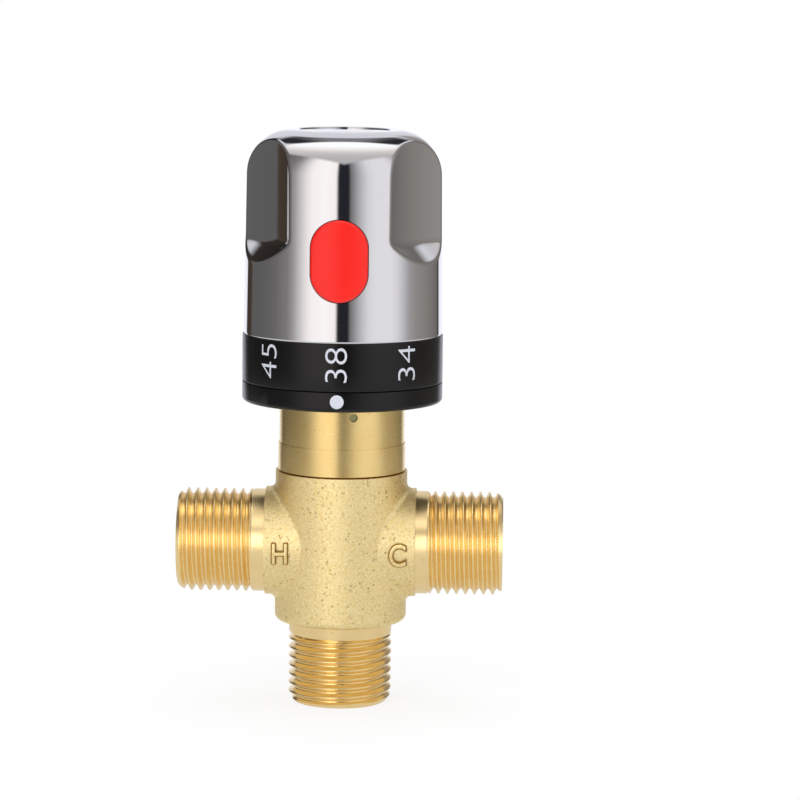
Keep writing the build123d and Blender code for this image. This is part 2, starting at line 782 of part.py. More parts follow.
button_spring = coil_spring(
    front_plane.offset(spring_seat_y - spring_pocket_depth),
    button_spring_radius,
    button_spring_wire,
    button_spring_length + spring_pocket_depth,
    button_spring_turns,
)
button_spring.label = "button_spring"
export_step(button_spring, "parts/button_spring.step")

# Adjusting nut: climbs the spindle, its hexagon kept from turning by the housing
nut_top_z = thread_end_z + nut_engagement
nut_bottom_z = nut_top_z - nut_height
nut_clip_z = nut_bottom_z + clip_ledge
cup_flange_z = nut_clip_z + clip_height + seat_gap
with BuildPart() as adjusting_nut:
    with BuildSketch(Plane.XY.offset(nut_bottom_z)):
        RegularPolygon(hexagon_across / 2, 6, major_radius=False)
    extrude(amount=nut_height)
    with BuildSketch(Plane.XY.offset(nut_bottom_z)):
        Circle(spindle_thread_radius + slide_gap)
    extrude(amount=nut_height, mode=Mode.SUBTRACT)
    with BuildSketch(Plane.XY.offset(nut_bottom_z)):
        Circle(spring_chamber_radius)
    extrude(amount=nut_height - nut_thread_height, mode=Mode.SUBTRACT)
    with BuildSketch(Plane.XY.offset(nut_clip_z)):
        Circle(spring_chamber_radius + clip_groove_depth)
    extrude(amount=clip_height, mode=Mode.SUBTRACT)
adjusting_nut.part.label = "adjusting_nut"
export_step(adjusting_nut.part, "parts/adjusting_nut.step")

# Clip in the mouth of the nut, the piston cup that rests on it and the overload spring above
with BuildPart() as nut_clip:
    with BuildSketch(Plane.XY.offset(nut_clip_z)):
        Circle(spring_chamber_radius + clip_groove_depth - fixed_gap)
        Circle(cup_boss_radius + 2 * turning_gap, mode=Mode.SUBTRACT)
        with Locations((spring_chamber_radius, 0)):
            Rectangle(spring_chamber_radius, cup_boss_radius, mode=Mode.SUBTRACT)
    extrude(amount=clip_height)
nut_clip.part.label = "nut_clip"
export_step(nut_clip.part, "parts/nut_clip.step")

cup_bottom_z = cup_flange_z - cup_boss_height
cup_top_z = cup_flange_z + cup_flange_height
piston_seat_z = cup_bottom_z + cup_pocket_depth
piston_cup = turned(
    (0, piston_seat_z),
    (piston_radius + slide_gap, piston_seat_z),
    (piston_radius + slide_gap, cup_bottom_z),
    (cup_boss_radius, cup_bottom_z),
    (cup_boss_radius, cup_flange_z),
    (spring_chamber_radius - turning_gap, cup_flange_z),
    (spring_chamber_radius - turning_gap, cup_top_z),
    (0, cup_top_z),
)
piston_cup.label = "piston_cup"
export_step(piston_cup, "parts/piston_cup.step")

overload_spring = coil_spring(
    Plane.XY.offset(cup_top_z),
    overload_spring_radius,
    overload_spring_wire,
    nut_top_z - nut_thread_height - cup_top_z,
    overload_spring_turns,
)
overload_spring.label = "overload_spring"
export_step(overload_spring, "parts/overload_spring.step")

with BuildPart() as element_piston:
    with BuildSketch(Plane.XY.offset(piston_seat_z)):
        Circle(piston_radius)
    extrude(amount=-piston_length)
element_piston.part.label = "element_piston"
export_step(element_piston.part, "parts/element_piston.step")

# Spool: a sleeve between the two seats, with a spoked web that carries the wax element
spool_bottom_z = hot_seat_z + spool_stroke + seat_gap
spool_top_z = cold_seat_z - spool_stroke - seat_gap
spool_inner_radius = spool_radius - spool_wall
web_bottom_z = inlet_axis_z - spool_web_height / 2
web_top_z = inlet_axis_z + spool_web_height / 2
with BuildPart() as spool:
    with BuildSketch(Plane.XY.offset(spool_bottom_z)):
        Circle(spool_radius)
        Circle(spool_inner_radius, mode=Mode.SUBTRACT)
    extrude(amount=spool_top_z - spool_bottom_z)
    with BuildSketch(Plane.XY.offset(inlet_axis_z - spool_ring_groove / 2)):
        Circle(spool_radius)
        Circle(spool_radius - 2 * spool_ring_section, mode=Mode.SUBTRACT)
    extrude(amount=spool_ring_groove, mode=Mode.SUBTRACT)
    with BuildSketch(Plane.XY.offset(web_bottom_z)):
        with PolarLocations(spool_inner_radius / 2, spool_spoke_count, start_angle=spool_spoke_angle):
            Rectangle(spool_inner_radius + spool_wall / 2, spool_spoke_width)
        Circle(spool_hub_radius)
        Circle(element_radius + fixed_gap, mode=Mode.SUBTRACT)
    extrude(amount=spool_web_height)
spool.part.label = "spool"
export_step(spool.part, "parts/spool.step")

spool_ring_radius = spool_bore_radius - spool_ring_section - ring_squeeze
spool_o_ring = o_ring(spool_ring_radius, spool_ring_section, inlet_axis_z)
spool_o_ring.label = "spool_o_ring"
export_step(spool_o_ring, "parts/spool_o_ring.step")

# Wax element: hangs in the mixed water, its flange seated on the web and its neck round the piston
element_shoulder_z = web_top_z + element_flange_height
neck_top_z = element_shoulder_z + element_neck_height
wax_element = turned(
    (0, web_top_z - element_length),
    (element_radius, web_top_z - element_length),
    (element_radius, web_top_z),
    (element_flange_radius, web_top_z),
    (element_flange_radius, element_shoulder_z),
    (element_neck_radius, element_shoulder_z),
    (element_neck_radius, neck_top_z),
    (piston_radius + slide_gap, neck_top_z),
    (piston_radius + slide_gap, web_top_z),
    (0, web_top_z),
)
wax_element.label = "wax_element"
export_step(wax_element, "parts/wax_element.step")

lip_top_z = sleeve_bottom_z + sleeve_lip_height
return_spring = coil_spring(
    Plane.XY.offset(lip_top_z),
    return_spring_radius,
    return_spring_wire,
    web_bottom_z - lip_top_z,
    return_spring_turns,
)
return_spring.label = "return_spring"
export_step(return_spring, "parts/return_spring.step")

# Check valve and strainer of each inlet, placed by their distance out from the middle
check_radius = waterway_radius - fixed_gap
check_inner_radius = check_radius - check_wall
check_end = inlet_floor_reach + check_length
check_seat = check_end - check_seat_height
guide_start = inlet_floor_reach + check_guide_inset
guide_end = guide_start + check_guide_height
seal_face = check_seat - seat_gap
poppet_face = seal_face - poppet_seal_height
poppet_back = poppet_face - poppet_height
stem_end = guide_start + stem_inset
seal_inner_radius = poppet_radius - poppet_seal_width
strainer_end = check_end + strainer_length


def turned_on_inlet(side, *profile):
    """A turned solid on the inlets' axis: (reach, radius) points on the hot (-1) or cold (1) side."""
    with BuildPart() as piece:
        with BuildSketch(inlet_plane):
            with BuildLine():
                Polyline(*[(side * reach, radius) for reach, radius in profile], close=True)
            make_face()
        revolve(axis=inlet_axis)
    return piece.part


def inlet_section(side, reach):
    """The plane across an inlet at a distance from the middle, facing outwards."""
    return Plane(origin=(side * reach, 0, inlet_axis_z), x_dir=(0, side, 0), z_dir=(side, 0, 0))


for inlet, side in (("hot", -1), ("cold", 1)):
    # Body: a tube with its seat at the outer end and a spoked guide for the stem inside
    with BuildPart() as check_body:
        add(
            turned_on_inlet(
                side,
                (inlet_floor_reach, check_inner_radius),
                (inlet_floor_reach, check_radius),
                (check_end, check_radius),
                (check_end, check_seat_radius),
                (check_seat, check_seat_radius),
                (check_seat, check_inner_radius),
            )
        )
        with BuildSketch(inlet_section(side, guide_start)):
            with PolarLocations(check_inner_radius / 2, check_spoke_count, start_angle=check_spoke_angle):
                Rectangle(check_inner_radius + check_wall, check_spoke_width)
            Circle(check_guide_radius)
            Circle(poppet_stem_radius + slide_gap, mode=Mode.SUBTRACT)
        extrude(amount=check_guide_height)
    check_body.part.label = f"{inlet}_check_body"
    export_step(check_body.part, f"parts/{inlet}_check_body.step")

    poppet = turned_on_inlet(
        side,
        (stem_end, 0),
        (stem_end, poppet_stem_radius),
        (poppet_back, poppet_stem_radius),
        (poppet_back, poppet_radius),
        (poppet_face, poppet_radius),
        (poppet_face, seal_inner_radius - fixed_gap),
        (seal_face - poppet_boss_gap, seal_inner_radius - fixed_gap),
        (seal_face - poppet_boss_gap, 0),
    )
    poppet.label = f"{inlet}_poppet"
    export_step(poppet, f"parts/{inlet}_poppet.step")

    seal = turned_on_inlet(
        side,
        (poppet_face, seal_inner_radius),
        (poppet_face, poppet_radius),
        (seal_face, poppet_radius),
        (seal_face, seal_inner_radius),
    )
    seal.label = f"{inlet}_poppet_seal"
    export_step(seal, f"parts/{inlet}_poppet_seal.step")

    check_spring = coil_spring(
        inlet_section(side, guide_end),
        check_spring_radius,
        check_spring_wire,
        poppet_back - guide_end,
        check_spring_turns,
    )
    check_spring.label = f"{inlet}_check_spring"
    export_step(check_spring, f"parts/{inlet}_check_spring.step")

    # Strainer: a slotted cup with a drilled end, its rim against the check valve
    with BuildPart() as strainer:
        add(
            turned_on_inlet(
                side,
                (check_end, strainer_radius - strainer_wall),
                (check_end, check_radius),
                (check_end + strainer_rim_height, check_radius),
                (check_end + strainer_rim_height, strainer_radius),
                (strainer_end, strainer_radius),
                (strainer_end, 0),
                (strainer_end - strainer_wall, 0),
                (strainer_end - strainer_wall, strainer_radius - strainer_wall),
            )
        )
        with BuildSketch(inlet_section(side, check_end + strainer_rim_height + strainer_slot_inset)):
            with PolarLocations(strainer_radius, strainer_slot_count):
                Rectangle(4 * strainer_wall, strainer_slot_width)
        extrude(
            amount=strainer_length - strainer_rim_height - 2 * strainer_slot_inset - strainer_wall,
            mode=Mode.SUBTRACT,
        )
        with BuildSketch(inlet_section(side, strainer_end)):
            Circle(strainer_hole_radius)
            with PolarLocations(strainer_hole_circle, strainer_hole_count):
                Circle(strainer_hole_radius)
        extrude(amount=-strainer_wall, mode=Mode.SUBTRACT)
    strainer.part.label = f"{inlet}_strainer"
    export_step(strainer.part, f"parts/{inlet}_strainer.step")
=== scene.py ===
"""The finish of a thermostatic mixing valve: cast and turned brass, bright chrome, satin black rings."""

import json
import math

import bpy
import numpy as np
from mathutils import Euler, Matrix, Vector

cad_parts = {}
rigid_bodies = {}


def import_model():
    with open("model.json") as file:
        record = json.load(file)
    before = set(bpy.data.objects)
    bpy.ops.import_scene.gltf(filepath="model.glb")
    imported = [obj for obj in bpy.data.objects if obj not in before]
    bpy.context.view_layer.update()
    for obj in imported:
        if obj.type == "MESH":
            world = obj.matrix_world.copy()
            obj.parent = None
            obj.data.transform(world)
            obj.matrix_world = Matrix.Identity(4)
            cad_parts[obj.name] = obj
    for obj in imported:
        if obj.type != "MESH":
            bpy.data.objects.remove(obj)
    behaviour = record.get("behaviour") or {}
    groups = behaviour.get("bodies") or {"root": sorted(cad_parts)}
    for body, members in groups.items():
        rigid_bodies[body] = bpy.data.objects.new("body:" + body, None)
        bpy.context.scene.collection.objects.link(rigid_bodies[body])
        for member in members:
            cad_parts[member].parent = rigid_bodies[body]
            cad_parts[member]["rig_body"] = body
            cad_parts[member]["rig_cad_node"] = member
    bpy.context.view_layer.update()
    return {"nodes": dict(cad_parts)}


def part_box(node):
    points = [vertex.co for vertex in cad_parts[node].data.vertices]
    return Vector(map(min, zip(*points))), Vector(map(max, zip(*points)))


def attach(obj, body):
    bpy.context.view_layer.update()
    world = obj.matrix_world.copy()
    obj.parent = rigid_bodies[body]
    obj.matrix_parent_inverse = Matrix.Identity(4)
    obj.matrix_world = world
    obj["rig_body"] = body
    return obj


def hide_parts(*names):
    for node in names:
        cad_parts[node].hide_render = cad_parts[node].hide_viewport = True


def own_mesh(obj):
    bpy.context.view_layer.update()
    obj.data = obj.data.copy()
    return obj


MM = 0.001
# Distances that count as nothing where a mesh is cut and where points of a turned piece are merged
HAIR = 0.0001 * MM
WELD = 0.001 * MM
# Millimetres that count as touching where points are chosen by their place
NEAR = 0.01
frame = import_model()
scene = bpy.context.scene
scene.view_settings.view_transform = "Standard"

# Camera, fitted to the photograph: millimetres and degrees, for a square picture of 800 pixels
PICTURE = 800
SENSOR = 36.0
FOCAL_PIXELS = 3407.0
CAMERA_DISTANCE = 675.6
CAMERA_HEIGHT = 152.0
CAMERA_AZIMUTH = 2.53
CAMERA_PITCH = 7.668
CAMERA_YAW = 0.98
CAMERA_ROLL = 0.65


def millimetres(name):
    """The corners of a CAD node in millimetres."""
    low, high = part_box(name)
    return low / MM, high / MM


# Sizes read from the frame, in millimetres
shell_low, shell_high = millimetres("handle_shell")
scale_low, scale_high = millimetres("scale_ring")
cap_low, cap_high = millimetres("top_cap")
hot_low, hot_high = millimetres("hot_check_body")

HANDLE_TOP = shell_high.z
SKIRT_BASE = shell_low.z
RING_RADIUS = scale_high.x
CHROME_BASE = scale_high.z
INLET_AXIS = (hot_low.z + hot_high.z) / 2
INLET_REACH = millimetres("valve_body")[1].x


# Working by hand

def deselect():
    bpy.ops.object.select_all(action="DESELECT")


def pick(piece):
    """Selects one piece alone and makes it the active one."""
    deselect()
    piece.select_set(True)
    bpy.context.view_layer.objects.active = piece


def edit(piece):
    """Opens a piece in edit mode with all of its mesh selected."""
    pick(piece)
    bpy.ops.object.mode_set(mode="EDIT")
    bpy.ops.mesh.select_all(action="SELECT")


def leave_edit():
    bpy.ops.object.mode_set(mode="OBJECT")


def points_of(piece):
    """The vertices of a piece in millimetres, as rows of x, y, z."""
    flat = np.empty(len(piece.data.vertices) * 3)
    piece.data.vertices.foreach_get("co", flat)
    return flat.reshape(-1, 3) / MM


def set_points(piece, points):
    """Moves the vertices of a piece to rows of x, y, z in millimetres."""
    piece.data.vertices.foreach_set("co", (points * MM).ravel())
    piece.data.update()


def smooth(piece, angle=35.0):
    """Smooth shading across edges flatter than an angle in degrees."""
    pick(piece)
    bpy.ops.object.shade_smooth_by_angle(angle=math.radians(angle))


def apply_modifier(piece, kind, **settings):
    pick(piece)
    modifier = piece.modifiers.new(kind.lower(), kind)
    for name, value in settings.items():
        setattr(modifier, name, value)
    bpy.ops.object.modifier_apply(modifier=modifier.name)


def draw_outline(name, outline):
    """A chain of edges through (radius, height) points in millimetres, in the XZ plane."""
    deselect()
    bpy.ops.mesh.primitive_plane_add(size=MM)
    piece = bpy.context.active_object
    piece.name = name
    bpy.ops.object.mode_set(mode="EDIT")
    bpy.ops.mesh.merge(type="CENTER")
    last = (0.0, 0.0)
    for i, (radius, height) in enumerate(outline):
        step = ((radius - last[0]) * MM, 0, (height - last[1]) * MM)
        if i == 0:
            bpy.ops.transform.translate(value=step)
        else:
            bpy.ops.mesh.extrude_vertices_move(TRANSFORM_OT_translate={"value": step})
        last = (radius, height)
    leave_edit()
    return piece


def turned(name, outline, steps, angle=35.0):
    """A closed outline spun once round the Z axis, as on a lathe."""
    piece = draw_outline(name, [*outline, outline[0]])
    edit(piece)
    bpy.ops.mesh.remove_doubles(threshold=WELD)
    bpy.ops.mesh.spin(steps=steps, angle=2 * math.pi, center=(0, 0, 0), axis=(0, 0, 1))
    bpy.ops.mesh.select_all(action="SELECT")
    bpy.ops.mesh.remove_doubles(threshold=WELD)
    bpy.ops.mesh.normals_make_consistent(inside=False)
    leave_edit()
    smooth(piece, angle)
    return piece


def run(start, end, count):
    """Points along a straight run, without its last one."""
    return [
        (start[0] + (end[0] - start[0]) * i / count, start[1] + (end[1] - start[1]) * i / count)
        for i in range(count)
    ]


def arc(centre, radius, start, end, count):
    """Points along an arc from one angle in degrees to another, both ends included."""
    made = []
    for i in range(count + 1):
        angle = math.radians(start + (end - start) * i / count)
        made.append((centre[0] + radius * math.cos(angle), centre[1] + radius * math.sin(angle)))
    return made


def merged_copy(node, name, angle=35.0):
    """A copy of a CAD node with its loose triangles merged, to take smooth shading and more detail."""
    pick(frame["nodes"][node])
    bpy.ops.object.duplicate()
    piece = bpy.context.active_object
    piece.parent = None
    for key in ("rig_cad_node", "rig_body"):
        if key in piece:
            del piece[key]
    piece.name = name
    piece.data.name = name
    edit(piece)
    bpy.ops.mesh.customdata_custom_splitnormals_clear()
    bpy.ops.mesh.remove_doubles(threshold=WELD / 2)
    leave_edit()
    smooth(piece, angle)
    return piece


def cut(piece, cutter):
    """Takes a cutter's shape off a piece and clears the cutter away."""
    apply_modifier(piece, "BOOLEAN", object=cutter, operation="DIFFERENCE", solver="EXACT")
    bpy.data.objects.remove(cutter)


def finish_piece(piece, body, slot_name, material, *nodes):
    """Gives a piece its material and its body, and hides the CAD nodes that it stands for."""
    if material is not None:
        piece.data.materials.clear()
        piece.data.materials.append(material)
    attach(piece, body)
    if nodes:
        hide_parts(*nodes)
    return piece


# Finishes

def linear(colour):
    """A linear colour from an sRGB hex value."""
    channels = [int(colour[i:i + 2], 16) / 255 for i in (1, 3, 5)]
    return (*[c / 12.92 if c <= 0.04045 else ((c + 0.055) / 1.055) ** 2.4 for c in channels], 1.0)


def add(tree, kind, links=None, **settings):
    """Adds a node with its settings, its values and its links."""
    made = tree.nodes.new(kind)
    for name, value in settings.items():
        setattr(made, name, value)
    for socket, value in (links or {}).items():
        if isinstance(value, bpy.types.NodeSocket):
            tree.links.new(value, made.inputs[socket])
        else:
            made.inputs[socket].default_value = value
    return made


# Sockets of a Mix node that mixes colours: its factor, its two colours and its result
FACTOR, FIRST, SECOND, RESULT = 0, 6, 7, 2


def blank_material(name):
    """A material with only its shader and output, and the piece's own coordinates."""
    made = bpy.data.materials.new(name)
    made.use_nodes = True
    tree = made.node_tree
    tree.nodes.clear()
    shader = add(tree, "ShaderNodeBsdfPrincipled")
    add(tree, "ShaderNodeOutputMaterial", {"Surface": shader.outputs[0]})
    coordinates = add(tree, "ShaderNodeTexCoord").outputs["Object"]
    return made, tree, shader, coordinates


def per_mm(size):
    """A noise scale whose features are about this many millimetres across."""
    return 1 / (size * MM)


def chrome_plate():
    """Chromium over nickel on a moulded handle: a cool mirror with the faint waves of the plastic below."""
    made, tree, shader, place = blank_material("chrome_plate")
    waves = add(tree, "ShaderNodeTexNoise", {"Vector": place, "Scale": per_mm(9.0), "Detail": 1.0})
    haze = add(tree, "ShaderNodeTexNoise", {"Vector": place, "Scale": per_mm(4.0), "Detail": 3.0})
    bump = add(
        tree, "ShaderNodeBump", {"Height": waves.outputs[0], "Strength": 0.25, "Distance": 0.006 * MM},
    )
    rough = add(tree, "ShaderNodeMapRange", {"Value": haze.outputs[0], "To Min": 0.035, "To Max": 0.07})
    tree.links.new(bump.outputs[0], shader.inputs["Normal"])
    tree.links.new(rough.outputs[0], shader.inputs["Roughness"])
    shader.inputs["Base Color"].default_value = linear("#E3E3E6")
    shader.inputs["Metallic"].default_value = 1.0
    return made


def black_plastic():
    """Moulded ABS in black: a satin skin with a fine grain."""
    made, tree, shader, place = blank_material("black_plastic")
    grain = add(tree, "ShaderNodeTexNoise", {"Vector": place, "Scale": per_mm(0.35), "Detail": 2.0})
    bump = add(
        tree, "ShaderNodeBump", {"Height": grain.outputs[0], "Strength": 0.25, "Distance": 0.01 * MM},
    )
    rough = add(tree, "ShaderNodeMapRange", {"Value": grain.outputs[0], "To Min": 0.2, "To Max": 0.28})
    tree.links.new(bump.outputs[0], shader.inputs["Normal"])
    tree.links.new(rough.outputs[0], shader.inputs["Roughness"])
    shader.inputs["Specular IOR Level"].default_value = 0.35
    shader.inputs["Base Color"].default_value = linear("#080707")
    return made


def printed_ink():
    """White pad-printing ink: thin, matt, and a little uneven."""
    made, tree, shader, place = blank_material("printed_ink")
    mottle = add(tree, "ShaderNodeTexNoise", {"Vector": place, "Scale": per_mm(0.5), "Detail": 2.0})
    colour = add(
        tree, "ShaderNodeMix",
        {FACTOR: mottle.outputs[0], FIRST: linear("#C3C8D4"), SECOND: linear("#D9DDE8")}, data_type="RGBA",
    )
    tree.links.new(colour.outputs[RESULT], shader.inputs["Base Color"])
    shader.inputs["Roughness"].default_value = 0.55
    return made


def red_plastic():
    """Polished red ABS: an even colour under a clear gloss."""
    made, tree, shader, place = blank_material("red_plastic")
    flow = add(tree, "ShaderNodeTexNoise", {"Vector": place, "Scale": per_mm(6.0), "Detail": 2.0})
    colour = add(
        tree, "ShaderNodeMix",
        {FACTOR: flow.outputs[0], FIRST: linear("#EE150B"), SECOND: linear("#F41E12")}, data_type="RGBA",
    )
    tree.links.new(colour.outputs[RESULT], shader.inputs["Base Color"])
    shader.inputs["Roughness"].default_value = 0.36
    return made


def cast_brass(name, low, high):
    """Sand-cast brass, blasted: a pale, dull yellow, finely pitted, with brown specks, and painted shade
    that darkens its corners.
    """
    made, tree, shader, place = blank_material(name)
    grain = add(tree, "ShaderNodeTexNoise", {"Vector": place, "Scale": per_mm(0.28), "Detail": 2.0})
    mottle = add(tree, "ShaderNodeTexNoise", {"Vector": place, "Scale": per_mm(0.3), "Detail": 4.0})
    pits = add(
        tree, "ShaderNodeTexNoise",
        {"Vector": place, "Scale": per_mm(0.6), "Detail": 6.0, "Roughness": 0.75},
    )
    specks = add(
        tree, "ShaderNodeMapRange",
        {"Value": pits.outputs[0], "From Min": 0.575, "From Max": 0.66, "To Min": 0.0, "To Max": 1.0},
    )
    spread = add(
        tree, "ShaderNodeMapRange", {"Value": mottle.outputs[0], "From Min": 0.3, "From Max": 0.7},
    )
    base = add(
        tree, "ShaderNodeMix", {FACTOR: spread.outputs[0], FIRST: linear(low), SECOND: linear(high)},
        data_type="RGBA",
    )
    worn = add(
        tree, "ShaderNodeMix",
        {FACTOR: specks.outputs[0], FIRST: base.outputs[RESULT], SECOND: linear("#94702F")},
        data_type="RGBA",
    )
    # Painted shade: the colour darkens towards brown where ambient occlusion finds corners and crevices, at
    # the letters, collars, thread roots and seams
    corner = add(tree, "ShaderNodeAmbientOcclusion", {"Distance": 0.7 * MM}, samples=6)
    painted_shade_share = add(
        tree, "ShaderNodeMapRange", {"Value": corner.outputs["AO"], "From Min": 0.8, "From Max": 0.35},
    )
    with_painted_shade = add(
        tree, "ShaderNodeMix",
        {FACTOR: painted_shade_share.outputs[0], FIRST: worn.outputs[RESULT], SECOND: linear("#8F6A2C")},
        data_type="RGBA",
    )
    sunk = add(tree, "ShaderNodeMath", {0: specks.outputs[0], 1: 0.3}, operation="MULTIPLY")
    height = add(tree, "ShaderNodeMath", {0: grain.outputs[0], 1: sunk.outputs[0]}, operation="SUBTRACT")
    bump = add(
        tree, "ShaderNodeBump", {"Height": height.outputs[0], "Strength": 0.9, "Distance": 0.09 * MM},
    )
    tree.links.new(with_painted_shade.outputs[RESULT], shader.inputs["Base Color"])
    tree.links.new(bump.outputs[0], shader.inputs["Normal"])
    shader.inputs["Metallic"].default_value = 1.0
    shader.inputs["Roughness"].default_value = 0.46
    return made


def turned_brass(name, axis, low, high, roughness):
    """Brass straight off the lathe: warm and bright, with the tool's fine rings and a few dark pits."""
    made, tree, shader, place = blank_material(name)
    along = add(tree, "ShaderNodeSeparateXYZ", {0: place}).outputs[axis]
    rings = add(
        tree, "ShaderNodeTexNoise",
        {"W": along, "Scale": per_mm(0.22), "Detail": 3.0, "Roughness": 0.7}, noise_dimensions="1D",
    )
    cloud = add(tree, "ShaderNodeTexNoise", {"Vector": place, "Scale": per_mm(3.0), "Detail": 3.0})
    pits = add(tree, "ShaderNodeTexNoise", {"Vector": place, "Scale": per_mm(0.7), "Detail": 4.0})
    specks = add(
        tree, "ShaderNodeMapRange",
        {"Value": pits.outputs[0], "From Min": 0.7, "From Max": 0.74, "To Min": 0.0, "To Max": 0.6},
    )
    base = add(
        tree, "ShaderNodeMix", {FACTOR: cloud.outputs[0], FIRST: linear(low), SECOND: linear(high)},
        data_type="RGBA",
    )
    worn = add(
        tree, "ShaderNodeMix",
        {FACTOR: specks.outputs[0], FIRST: base.outputs[RESULT], SECOND: linear("#6B4A1C")},
        data_type="RGBA",
    )
    bump = add(
        tree, "ShaderNodeBump", {"Height": rings.outputs[0], "Strength": 0.08, "Distance": 0.015 * MM},
    )
    rough = add(
        tree, "ShaderNodeMapRange",
        {"Value": rings.outputs[0], "To Min": roughness - 0.03, "To Max": roughness + 0.04},
    )
    tree.links.new(worn.outputs[RESULT], shader.inputs["Base Color"])
    tree.links.new(bump.outputs[0], shader.inputs["Normal"])
    tree.links.new(rough.outputs[0], shader.inputs["Roughness"])
    shader.inputs["Metallic"].default_value = 1.0
    return made


def plain_metal(name, colour, roughness):
    """A drawn or turned metal of one colour, with a faint unevenness in its gloss."""
    made, tree, shader, place = blank_material(name)
    drawn = add(tree, "ShaderNodeTexNoise", {"Vector": place, "Scale": per_mm(0.6), "Detail": 3.0})
    rough = add(
        tree, "ShaderNodeMapRange",
        {"Value": drawn.outputs[0], "To Min": roughness - 0.05, "To Max": roughness + 0.08},
    )
    tree.links.new(rough.outputs[0], shader.inputs["Roughness"])
    shader.inputs["Base Color"].default_value = linear(colour)
    shader.inputs["Metallic"].default_value = 1.0
    return made


def moulding(name, colour, roughness):
    """A moulded polymer or rubber with a fine grain."""
    made, tree, shader, place = blank_material(name)
    grain = add(tree, "ShaderNodeTexNoise", {"Vector": place, "Scale": per_mm(0.3), "Detail": 2.0})
    bump = add(tree, "ShaderNodeBump", {"Height": grain.outputs[0], "Strength": 0.3, "Distance": 0.01 * MM})
    tree.links.new(bump.outputs[0], shader.inputs["Normal"])
    shader.inputs["Base Color"].default_value = linear(colour)
    shader.inputs["Roughness"].default_value = roughness
    return made


# Studio

def make_camera():
    """The camera of the photograph, with its height, turn, pitch and roll."""
    made = bpy.data.objects.new("camera", bpy.data.cameras.new("camera"))
    scene.collection.objects.link(made)
    made.data.sensor_width = SENSOR
    made.data.lens = FOCAL_PIXELS / PICTURE * SENSOR
    azimuth = math.radians(CAMERA_AZIMUTH)
    distance = CAMERA_DISTANCE * MM
    made.location = (distance * math.sin(azimuth), -distance * math.cos(azimuth), CAMERA_HEIGHT * MM)
    level = Euler((math.radians(90 - CAMERA_PITCH), 0, azimuth - math.radians(CAMERA_YAW)), "XYZ")
    roll = Matrix.Rotation(math.radians(CAMERA_ROLL), 3, "Z")
    made.rotation_euler = (level.to_matrix() @ roll).to_euler()
    scene.camera = made


# Tones round the horizon as the chrome shows them: degrees from the camera, then a colour
SIDE_WALLS = (
    (-131, "#585757"), (-107, "#5B5A59"), (-86, "#656364"), (-68, "#7B7776"), (-60, "#989493"),
    (-52, "#BFBDBC"), (-44, "#E5DDDB"), (-37, "#F4EEEB"), (-22, "#FAF5F2"), (-9, "#F4EEEA"),
    (-6.5, "#222328"), (5.5, "#222328"), (8, "#6E6D6E"), (13, "#8F8E8F"), (20, "#B4B3B4"),
    (28, "#D0CFD0"), (36, "#DAD9DA"), (57, "#DCDADB"), (65, "#D2D0D1"), (74, "#B7B6B7"),
    (83, "#979594"), (93, "#8B8783"), (116, "#7C7873"), (141, "#66625F"),
)
LOW_WALLS = (
    (-180, "#E3E4EC"), (-150, "#E3E4EC"), (-148, "#38302A"), (-134, "#42382F"), *SIDE_WALLS,
    (143, "#3A3734"), (147, "#3A3734"), (149, "#E3E4EC"), (180, "#E3E4EC"),
)
HIGH_WALLS = (
    (-180, "#CCCCD2"), (-161, "#CCCCD2"), (-157, "#1E1D1D"), (-134, "#332C27"), *SIDE_WALLS,
    (166, "#94908D"), (170, "#CCCCD2"), (180, "#CCCCD2"),
)
# Tones of the ceiling, by twice the slope of the chrome that mirrors them
CEILING = (
    (0, "#B2B1AF"), (54, "#B2B0AE"), (64, "#BCB9B7"), (72, "#CECAC7"), (80, "#E9E5E2"), (90, "#FDFDFD"),
    (118, "#FDFDFD"), (125, "#CDCDD2"), (180, "#CCCCCE"),
)
# Heights between which the low walls give way to the high ones, and these to one tone at the back
WALL_CHANGE = (0.1, 0.18)
WALL_TOP = (0.47, 0.55)
WALL_TOP_TONE = "#CCCCD2"
# The ceiling starts at this slope in degrees, and higher to the sides. It ends at the back.
CEILING_START = 34.0
CEILING_SOFTNESS = 10.0
CEILING_RISE = 30.0
BACK_EDGE = (-0.6, -0.35)
# A dark bar across the ceiling, wider and darker at its ends, in degrees of slope
BAR_START = 105.0
BAR_END = 122.0
BAR_SPREAD = 66.0
BAR_SOFTNESS = 4.0
BAR_BACK = (-0.85, -0.7)
BAR_TONE = "#28282B"
BAR_MIDDLE = (0.1, 0.36)
BAR_MIDDLE_TONE = "#77777A"
# Chrome plate takes away a good fifth of the light, which the studio makes up for
STUDIO_STRENGTH = 1.3


def ramp(tree, angle, stops):
    """A colour by an angle in radians, between stops that are given in degrees."""
    share = add(
        tree, "ShaderNodeMapRange",
        {"Value": angle, "From Min": -math.pi, "From Max": math.pi, "To Min": 0.0, "To Max": 1.0},
    )
    made = add(tree, "ShaderNodeValToRGB", {0: share.outputs[0]})
    elements = made.color_ramp.elements
    while len(elements) > 1:
        elements.remove(elements[0])
    for i, (degrees, colour) in enumerate(stops):
        place = (degrees + 180) / 360
        element = elements[0] if i == 0 else elements.new(place)
        element.position = place
        element.color = linear(colour)
    return made.outputs[0]


